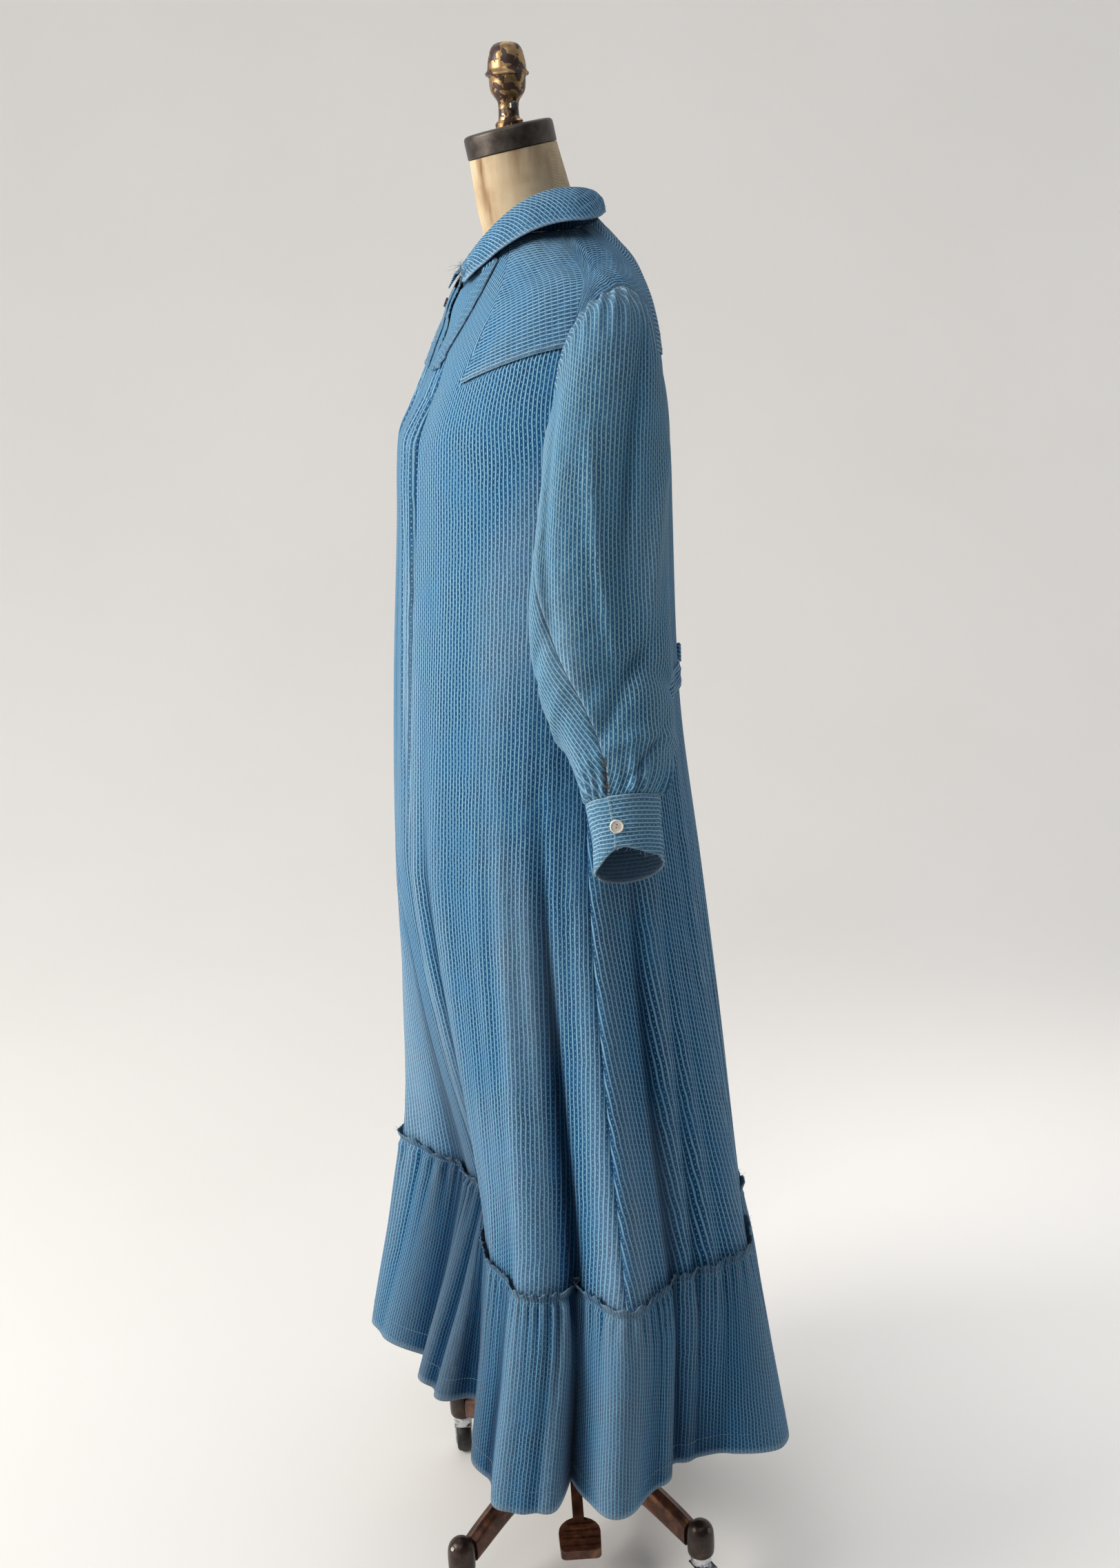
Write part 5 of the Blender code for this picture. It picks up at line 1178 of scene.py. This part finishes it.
def closedPiece(name, rings, material, stands=(), body="stand", place=None, sharp=32, values=None):
    # a solid skin through rings of equal count; both ends are drawn together into a point
    rings = np.asarray(rings, float)
    first, last = (np.broadcast_to(rings[end].mean(axis=0), rings[:1].shape) for end in (0, -1))
    if values is not None:
        values = {key: np.concatenate((v[:1], v, v[-1:])) for key, v in values.items()}
    rings = np.concatenate((first, rings, last))
    skinPiece(name, rings, material, stands, body, place, sharp, values)


def spin(profile, sides):
    # rings of a turned piece: height and radius spun round the axis
    height, radius = np.asarray(profile, float).T[..., None]
    turn = np.arange(sides) * 2 * pi / sides
    return joined(radius * np.cos(turn), radius * np.sin(turn), height)


def rounded(profile, steps=2):
    # corners cut off at a quarter from each side, again and again; the ends stay
    profile = np.asarray(profile, float)
    for step in range(steps):
        near, far = profile[:-1] * 0.75 + profile[1:] * 0.25, profile[:-1] * 0.25 + profile[1:] * 0.75
        inner = np.stack((near, far), axis=1).reshape(-1, profile.shape[1])
        profile = np.vstack((profile[:1], inner, profile[-1:]))
    return profile


# Dress form rings from the neck cap down: half width, front, back, height, rise per metre, shoulder
form = np.array((
    (0.0415, -0.0428, 0.0405, 1.5738, 0.185, 0.000), (0.0435, -0.0380, 0.0510, 1.5350, 0.190, 0.000),
    (0.0475, -0.0325, 0.0620, 1.4970, 0.150, 0.000), (0.0590, -0.0420, 0.0690, 1.4680, 0.200, 0.008),
    (0.1100, -0.0640, 0.0880, 1.4400, 0.170, 0.0345), (0.1520, -0.0840, 0.1000, 1.3950, 0.155, 0.0595),
    (0.1700, -0.1000, 0.1080, 1.3480, 0.000, 0.0350), (0.1640, -0.1160, 0.1080, 1.2800, 0.000, 0.0050),
    (0.1480, -0.1060, 0.1000, 1.2000, 0.000, 0.0000), (0.1220, -0.0820, 0.0820, 1.0900, 0.000, 0.0000),
    (0.1500, -0.0940, 0.1040, 1.0000, 0.000, 0.0000), (0.1700, -0.1040, 0.1260, 0.9000, 0.000, 0.0000),
    (0.1620, -0.0980, 0.1200, 0.8200, 0.000, 0.0000),
))
cap = dict(tilt=10.5, radius=0.0430, height=0.0215, top=Vector((0.0, -0.0055, 1.5955)), shift=0.0020)
# Finial above the cap's top: height, radius
finialProfile = (
    (0.0004, 0.0130), (0.0036, 0.0134), (0.0052, 0.0118), (0.0060, 0.0104), (0.0090, 0.0097),
    (0.0150, 0.0095), (0.0205, 0.0098), (0.0232, 0.0108), (0.0262, 0.0134), (0.0295, 0.0155),
    (0.0325, 0.0166), (0.0380, 0.0172), (0.0425, 0.0173), (0.0436, 0.0180), (0.0445, 0.0200),
    (0.0456, 0.0206), (0.0470, 0.0202), (0.0486, 0.0187), (0.0510, 0.0181), (0.0560, 0.0176),
    (0.0605, 0.0167), (0.0650, 0.0155), (0.0684, 0.0140), (0.0712, 0.0115), (0.0728, 0.0080),
    (0.0735, 0.0040), (0.0736, 0.0010),
)
# The bolt's head across the finial: height, radius
boltProfile = ((0.0, 0.0010), (0.0, 0.0044), (0.0040, 0.0044), (0.0046, 0.0040), (0.0050, 0.0032),
               (0.0051, 0.0010))
# The stand's turn in the frame, each caster's distance from the column, and the turns of the casters
stand = dict(turn=-7.6, reach=0.1925, casterTurns=(20.0, 75.0, 172.0, -10.0))
# Hub: height, radius
hubProfile = ((0.0800, 0.0050), (0.0800, 0.0250), (0.0860, 0.0315), (0.1500, 0.0315), (0.1600, 0.0250),
              (0.1650, 0.0190), (0.2040, 0.0190), (0.2098, 0.0160))
# Leg from the hub out: distance from the column, lower edge, upper edge
legRings = np.array((
    (0.0320, 0.0980, 0.1440), (0.0600, 0.0965, 0.1370), (0.0950, 0.0910, 0.1270),
    (0.1300, 0.0810, 0.1140), (0.1600, 0.0700, 0.1020), (0.1765, 0.0640, 0.0940),
))
wheel = dict(radius=0.0207, width=0.0180, trail=0.0100, axle=0.0026, plate=0.0016, top=0.0462, high=0.0203)


# The form's seam in degrees from the front; past the row given, it is smaller by the share, so that
# it stays inside the cloth
formSeam = 36.0
formInside = dict(row=3.2, share=0.975)


def makeForm():
    # the form's rings with a groove along its seam; the cap leans, and the finial rights itself
    # over its first 12 mm
    angle = np.arange(112) * 2 * pi / 112
    at = np.concatenate((np.linspace(0, 4, 34)[:-1], np.linspace(4, 12, 42)))
    straight = between(at, np.arange(len(form)), form)
    straight[:, :3] *= formInside["share"]
    rows = np.where(at[:, None] > formInside["row"], straight, through(form, at))[..., None, :]
    halfWide, front, back, height, rise, shoulder = np.moveaxis(rows, -1, 0)
    middle, deep = (front + back) / 2, (back - front) / 2
    fromSeam = np.degrees(angle) - formSeam
    groove = 1 - 0.010 * bell(fromSeam, 0, 1.6)
    y = middle - deep * np.cos(angle) * groove
    z = height + rise * (y - middle) + shoulder * np.sin(angle) ** 2
    rings = joined(halfWide * np.sin(angle) * groove, y, z)
    beside = bell(fromSeam, -2, 9) + 0.7 * bell(np.degrees(angle), 95, 16) * (at[:, None] < 0.8)
    closedPiece("canvasForm", rings, canvas, ("form_body",), "dress_form", sharp=60,
                values={"seam": np.broadcast_to(beside, rings.shape[:2])})
    lean = Matrix.Translation(cap["top"]) @ Matrix.Rotation(radians(cap["tilt"]), 4, "X")
    r, h = cap["radius"], cap["height"]
    profile = np.vstack((((-h, r - 0.004), (-h, r - 0.0006), (-h + 0.0006, r)),
                         rounded(((-0.0070, r), (-0.0008, r - 0.0004), (0.0, r - 0.009), (0.0, 0.006)), 3)))
    closedPiece("neckBand", spin(profile, 96), capMetal, ("neck_cap",), "dress_form", lean)
    height, radius = np.array(finialProfile).T[..., None]
    turn = np.arange(64) * 2 * pi / 64
    tilt = radians(cap["tilt"]) * np.clip(1 - height / 0.012, 0, 1)
    centre = height + cap["shift"] * sin(radians(cap["tilt"]))
    rings = joined(radius * np.cos(turn), cap["shift"] + radius * np.sin(turn) * np.cos(tilt),
                   centre + radius * np.sin(turn) * np.sin(tilt)) + cap["top"]
    closedPiece("turnedFinial", rings, paintedBrass, ("finial",), "dress_form")
    bolt = Matrix.Translation(cap["top"] + Vector((0.0, cap["shift"], 0.0178)))
    bolt = (bolt @ Matrix.Rotation(radians(15), 4, "Z") @ Matrix.Rotation(radians(90), 4, "Y")
            @ Matrix.Translation((0, 0, 0.0090)))
    closedPiece("hexBolt", spin(boltProfile, 6), greySteel, ("finial_bolt",), "dress_form", bolt,
                sharp=20)


def standPlace(degrees, reach=0.0):
    # a place beside the column: turned with the stand by the degrees and moved out by the reach
    return Matrix.Rotation(radians(stand["turn"] + degrees), 4, "Z") @ Matrix.Translation((reach, 0, 0))


def block(mesh, size, centre, bevel):
    # a box with rounded edges added to a mesh under construction
    place = Matrix.Translation(centre) @ Matrix.Diagonal((*size, 1))
    made = bmesh.ops.create_cube(mesh, size=1.0, matrix=place)
    edges = {edge for vertex in made["verts"] for edge in vertex.link_edges}
    bmesh.ops.bevel(mesh, geom=list(edges), offset=bevel, segments=2, affect="EDGES")


def legSkin():
    # the leg's rings: nine corners at each distance, each corner cut off twice at 18 % of the sides
    reach, low, high = through(legRings, np.linspace(0, 5, 31)).T
    half, edge = 0.010, 0.004
    # sideways, up from the lower or upper edge, and whether it is the upper one
    corners = ((-half + edge, 0, 0), (half - edge, 0, 0), (half, edge, 0), (half, -edge, 1),
               (0.003, -0.0012, 1), (0.0, 0.0014, 1), (-0.003, -0.0012, 1), (-half, -edge, 1),
               (-half, edge, 0))
    rings = np.stack([joined(reach, y, np.where(top, high, low) + up) for y, up, top in corners], axis=1)
    for step in range(2):
        after = np.roll(rings, -1, axis=1)
        cut = np.stack((rings * 0.82 + after * 0.18, rings * 0.18 + after * 0.82), axis=2)
        rings = cut.reshape(len(reach), -1, 3)
    return rings


# Turned profiles of the casters: height and radius
socketProfile = ((0.0600, 0.0020), (0.0600, 0.0140), (0.0640, 0.0155), (0.0880, 0.0155), (0.0965, 0.0130),
                 (0.1018, 0.0076), (0.1036, 0.0010))
screwProfile = ((0.0, 0.0010), (0.0, 0.0030), (0.0016, 0.0030), (0.0021, 0.0024), (0.0021, 0.0008))
collarProfile = ((0.0452, 0.0030), (0.0452, 0.0100), (0.0490, 0.0116), (0.0510, 0.0119), (0.0560, 0.0116),
                 (0.0596, 0.0100), (0.0596, 0.0030))
# Half of the tyre's profile from its face to the tread: distance in from the face, radius
treadHalf = ((0.0, 0.0060), (0.0, 0.0130), (0.0008, 0.0142), (0.0002, 0.0156), (0.0, 0.0170),
             (0.0010, 0.0192), (0.0030, wheel["radius"]))


def makeCaster(number, turn):
    # a fork of a top plate and two cheeks, its collar and pin, and the wheel on the pin
    body, half, plate = f"fork_{number}", wheel["width"] / 2, wheel["plate"]
    cheek = half + 0.0004 + plate / 2
    mesh = bmesh.new()
    block(mesh, (0.026, 2 * cheek + plate, plate),
          (wheel["trail"] / 2 - 0.002, 0, wheel["top"] - plate / 2), 0.0006)
    for side in (-1, 1):
        block(mesh, (0.016, plate, wheel["top"] - 0.012),
              (wheel["trail"] - 0.001, side * cheek, (wheel["top"] + 0.012) / 2), 0.0005)
    mesh.transform(turn)
    bmesh.ops.translate(mesh, vec=Vector(columnAt), verts=mesh.verts)
    data = bpy.data.meshes.new(f"casterFork{number}")
    mesh.to_mesh(data)
    mesh.free()
    data.materials.append(chrome)
    fork = bpy.data.objects.new(f"casterFork{number}", data)
    bpy.context.collection.objects.link(fork)
    finishPiece(fork, (body,), body)
    closedPiece(f"forkCollar{number}", spin(collarProfile, 48), chrome, (), body, turn)
    axle = turn @ Matrix.Translation((wheel["trail"], 0, wheel["high"]))
    axle = axle @ Matrix.Rotation(radians(90), 4, "X")
    pin = ((-cheek, 0.0008), (-cheek, wheel["axle"]), (cheek, wheel["axle"]), (cheek, 0.0008))
    closedPiece(f"forkPin{number}", spin(pin, 24), chrome, (), body, axle)
    tread = [(-half + inward, r) for inward, r in treadHalf]
    tread += [(half - inward, r) for inward, r in treadHalf[::-1]]
    rim = spin(tread + tread[:1], 64)
    wheelBody = f"wheel_{number}"
    skinPiece(f"rubberWheel{number}", rim, rubber, (wheelBody,), wheelBody, axle, 40)


def makeStand():
    # the hub, then each leg with its socket, the socket's screw and its caster
    closedPiece("castHub", spin(rounded(hubProfile, 2), 72), rustyIron, ("hub",))
    leg = legSkin()
    for number, degrees in enumerate((45, 135, 225, 315), 1):
        atHub, atLeg = standPlace(degrees), standPlace(degrees, stand["reach"])
        closedPiece(f"castLeg{number}", leg, rustyIron, (f"leg_{number}",), "stand", atHub)
        socket = spin(rounded(socketProfile, 2), 48)
        closedPiece(f"bulletSocket{number}", socket, darkIron, (f"socket_{number}",), "stand", atLeg)
        screwAt = atLeg @ Matrix.Translation((0.0112, 0, 0.0960)) @ Matrix.Rotation(radians(50), 4, "Y")
        closedPiece(f"socketScrew{number}", spin(screwProfile, 6), greySteel, place=screwAt, sharp=20)
        turned = stand["casterTurns"][number - 1] - stand["turn"] - degrees
        makeCaster(number, atLeg @ Matrix.Rotation(radians(turned), 4, "Z"))


def buttonPiece(name, centre, axis, radius, material, stands, across):
    # a dished disc with a round rim and two pits for the thread; across points from pit to pit
    axis = Vector(axis).normalized()
    sideways = (Vector(across) - axis * Vector(across).dot(axis)).normalized()
    place = Matrix((sideways, axis.cross(sideways), axis)).transposed().to_4x4()
    place.translation = centre
    share = np.concatenate((np.linspace(0.01, 0.40, 20), np.linspace(0.45, 1.0, 16)))
    r = share * radius
    high = 0.0015 + 0.0006 * bell(share, 0.84, 0.12) - 0.0011 * smoothStep(0.9, 1.0, share) ** 2
    turn = np.arange(96) * 2 * pi / 96
    x, y = r[:, None] * np.cos(turn), r[:, None] * np.sin(turn)
    pits = sum(smoothStep(0.17, 0.11, np.hypot(x / radius - s, y / radius)) for s in (-0.22, 0.22))
    top = joined(x, y, high[:, None] - 0.0011 * pits)
    low = spin(((0.0004, radius * 0.96), (0.0, radius * 0.86), (0.0, radius * 0.30)), 96)
    closedPiece(name, np.concatenate((top, low)), material, stands, "dress_form", place, sharp=60)


def makeButtons():
    # a shell button on the outside of each cuff, and the dark one beside the collar
    for side, flip in (("left", 1), ("right", -1)):
        tilt = Vector((flip * 0.97, -0.10, 0.12)).normalized()
        place = Vector((flip * 0.2690, 0.02125, 0.9850)) - tilt * 0.0006
        buttonPiece(f"cuffButton{side.title()}", place, tilt, 0.0066, shell,
                    (f"cuff_button_{side}",), (0, 0.3, 1))
    low, high = (Vector(offTorso(-25.0, 0.044, lift)) for lift in (0.0033, 0.0133))
    buttonPiece("neckButton", low, high - low, 0.0050, horn, ("neck_button",), (1, 0, 0))


bow = dict(y=0.1424, z=1.0760, knot=0.0090, start=0.0098)  # metres: centre, radius, where the loops start


def makeTie():
    # a folded strip over the back waist, its knot, two loops and two hanging ends
    turns = np.linspace(116.5, 243.5, 160)
    share = np.linspace(0, 1, 9)[:, None]
    drops = 0.470 + 0.0232 * share + 0.0008 * np.sin(turns / 9)
    lift = 0.0022 + 0.0006 * np.sin(pi * share) + 0.0005 * ripple(turns / 20, share * 2, 41)
    points = offTorso(turns, drops, lift)
    uv = arcUv(points, 80)[..., ::-1]
    clothPiece("waistTie", points, uv, calicoCloth, ("tie",), thick=0.0014,
               worn=edgeWear(uv[..., 0], 0.022 - uv[..., 0]), outward=-1)
    turn = np.arange(48) * 2 * pi / 48
    h = np.linspace(0, 1, 18)[:, None]
    bulge = np.interp(h, (0.0, 0.10, 0.30, 0.55, 0.85, 1.0), (0.40, 0.62, 0.96, 1.0, 0.8, 0.30))
    radius = bow["knot"] * bulge * (1 + 0.07 * np.sin(3 * turn + 4 * h) + 0.03 * np.sin(9 * turn))
    knot = joined(radius * np.cos(turn), bow["y"] - 0.0002 + 0.0092 * (h - 0.5),
                  bow["z"] + radius * np.sin(turn))
    uv = joined(0.0030 + 0.018 * np.append(turn, 2 * pi) / 3, 0.010 * h)
    clothPiece("waistKnot", knot, uv, calicoCloth, ("tie_knot",), thick=0.0008, closed=True)
    turn = np.arange(56) * 2 * pi / 56
    out = bow["start"] + 0.0235 * (1 - np.cos(turn)) / 2
    level = np.linspace(-1, 1, 11)[:, None]
    pinch = 0.55 + 0.45 * smoothStep(0.0095, 0.022, out)
    sag = 0.0016 * np.sin(turn * 2 + level) * smoothStep(0.012, 0.02, out)
    loopHigh = bow["z"] + 0.35 * (out - bow["start"]) + level * 0.0085 * pinch + sag
    down = np.linspace(0, 1, 24)[:, None]
    across = np.linspace(-0.0035, 0.0035, 9)
    flutter = bow["y"] + 0.0010 - 0.0012 * down + 0.0006 * np.sin(down * 9 + across * 600)
    for side, flip in (("left", 1), ("right", -1)):
        loop = joined(flip * out, bow["y"] + 0.0005 + 0.0036 * np.sin(turn), loopHigh)
        clothPiece(f"bowLoop{side.title()}", loop, arcUv(loop, closed=True)[..., ::-1], calicoCloth,
                   (f"tie_loop_{side}",), closed=True, outward=-flip)
        end = joined(flip * (0.0045 + 0.012 * down) + across * (1 + 0.5 * down), flutter,
                     bow["z"] - 0.0096 - 0.034 * down - 0.35 * across * flip * down)
        clothPiece(f"bowEnd{side.title()}", end, arcUv(end, 4), calicoCloth, (f"tie_end_{side}",),
                   thick=0.0010)


def dressHardParts():
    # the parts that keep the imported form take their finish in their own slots
    for name, material in (("column_tube", greySteel), ("column_rod", greySteel), ("pedal", rustyIron)):
        nodes[name].data.materials[0] = material


makeForm()
makeStand()
makeButtons()
dressHardParts()
makeTie()
makeFronts()
makeBack()
makeYoke()
makeSleeves()
makeCuffs()
makeCollar()
makePlackets()
makeRuffle()

threadCotton = mottled("pale sewing cotton", ("#6F8FA8", "#8FAABD", "#A5BCCB"), 400.0, 0.8)[0]
looseThread = mottled("loose indigo thread", ("#3E6A8C", "#7B9CB3", "#AFC4D1"), 300.0, 0.85)[0]
brownThread = mottled("browned frayed edge", ("#4A3A2C", "#6E5A44", "#8F7A60"), 300.0, 0.85)[0]
threadPiece("topStitches", np.concatenate(stitches), 0.00028, threadCotton)
threadPiece("looseThreads", np.concatenate(frays), 0.00018, looseThread)
threadPiece("brownedThreads", np.concatenate(browned), 0.00024, brownThread)

bpy.context.view_layer.update()
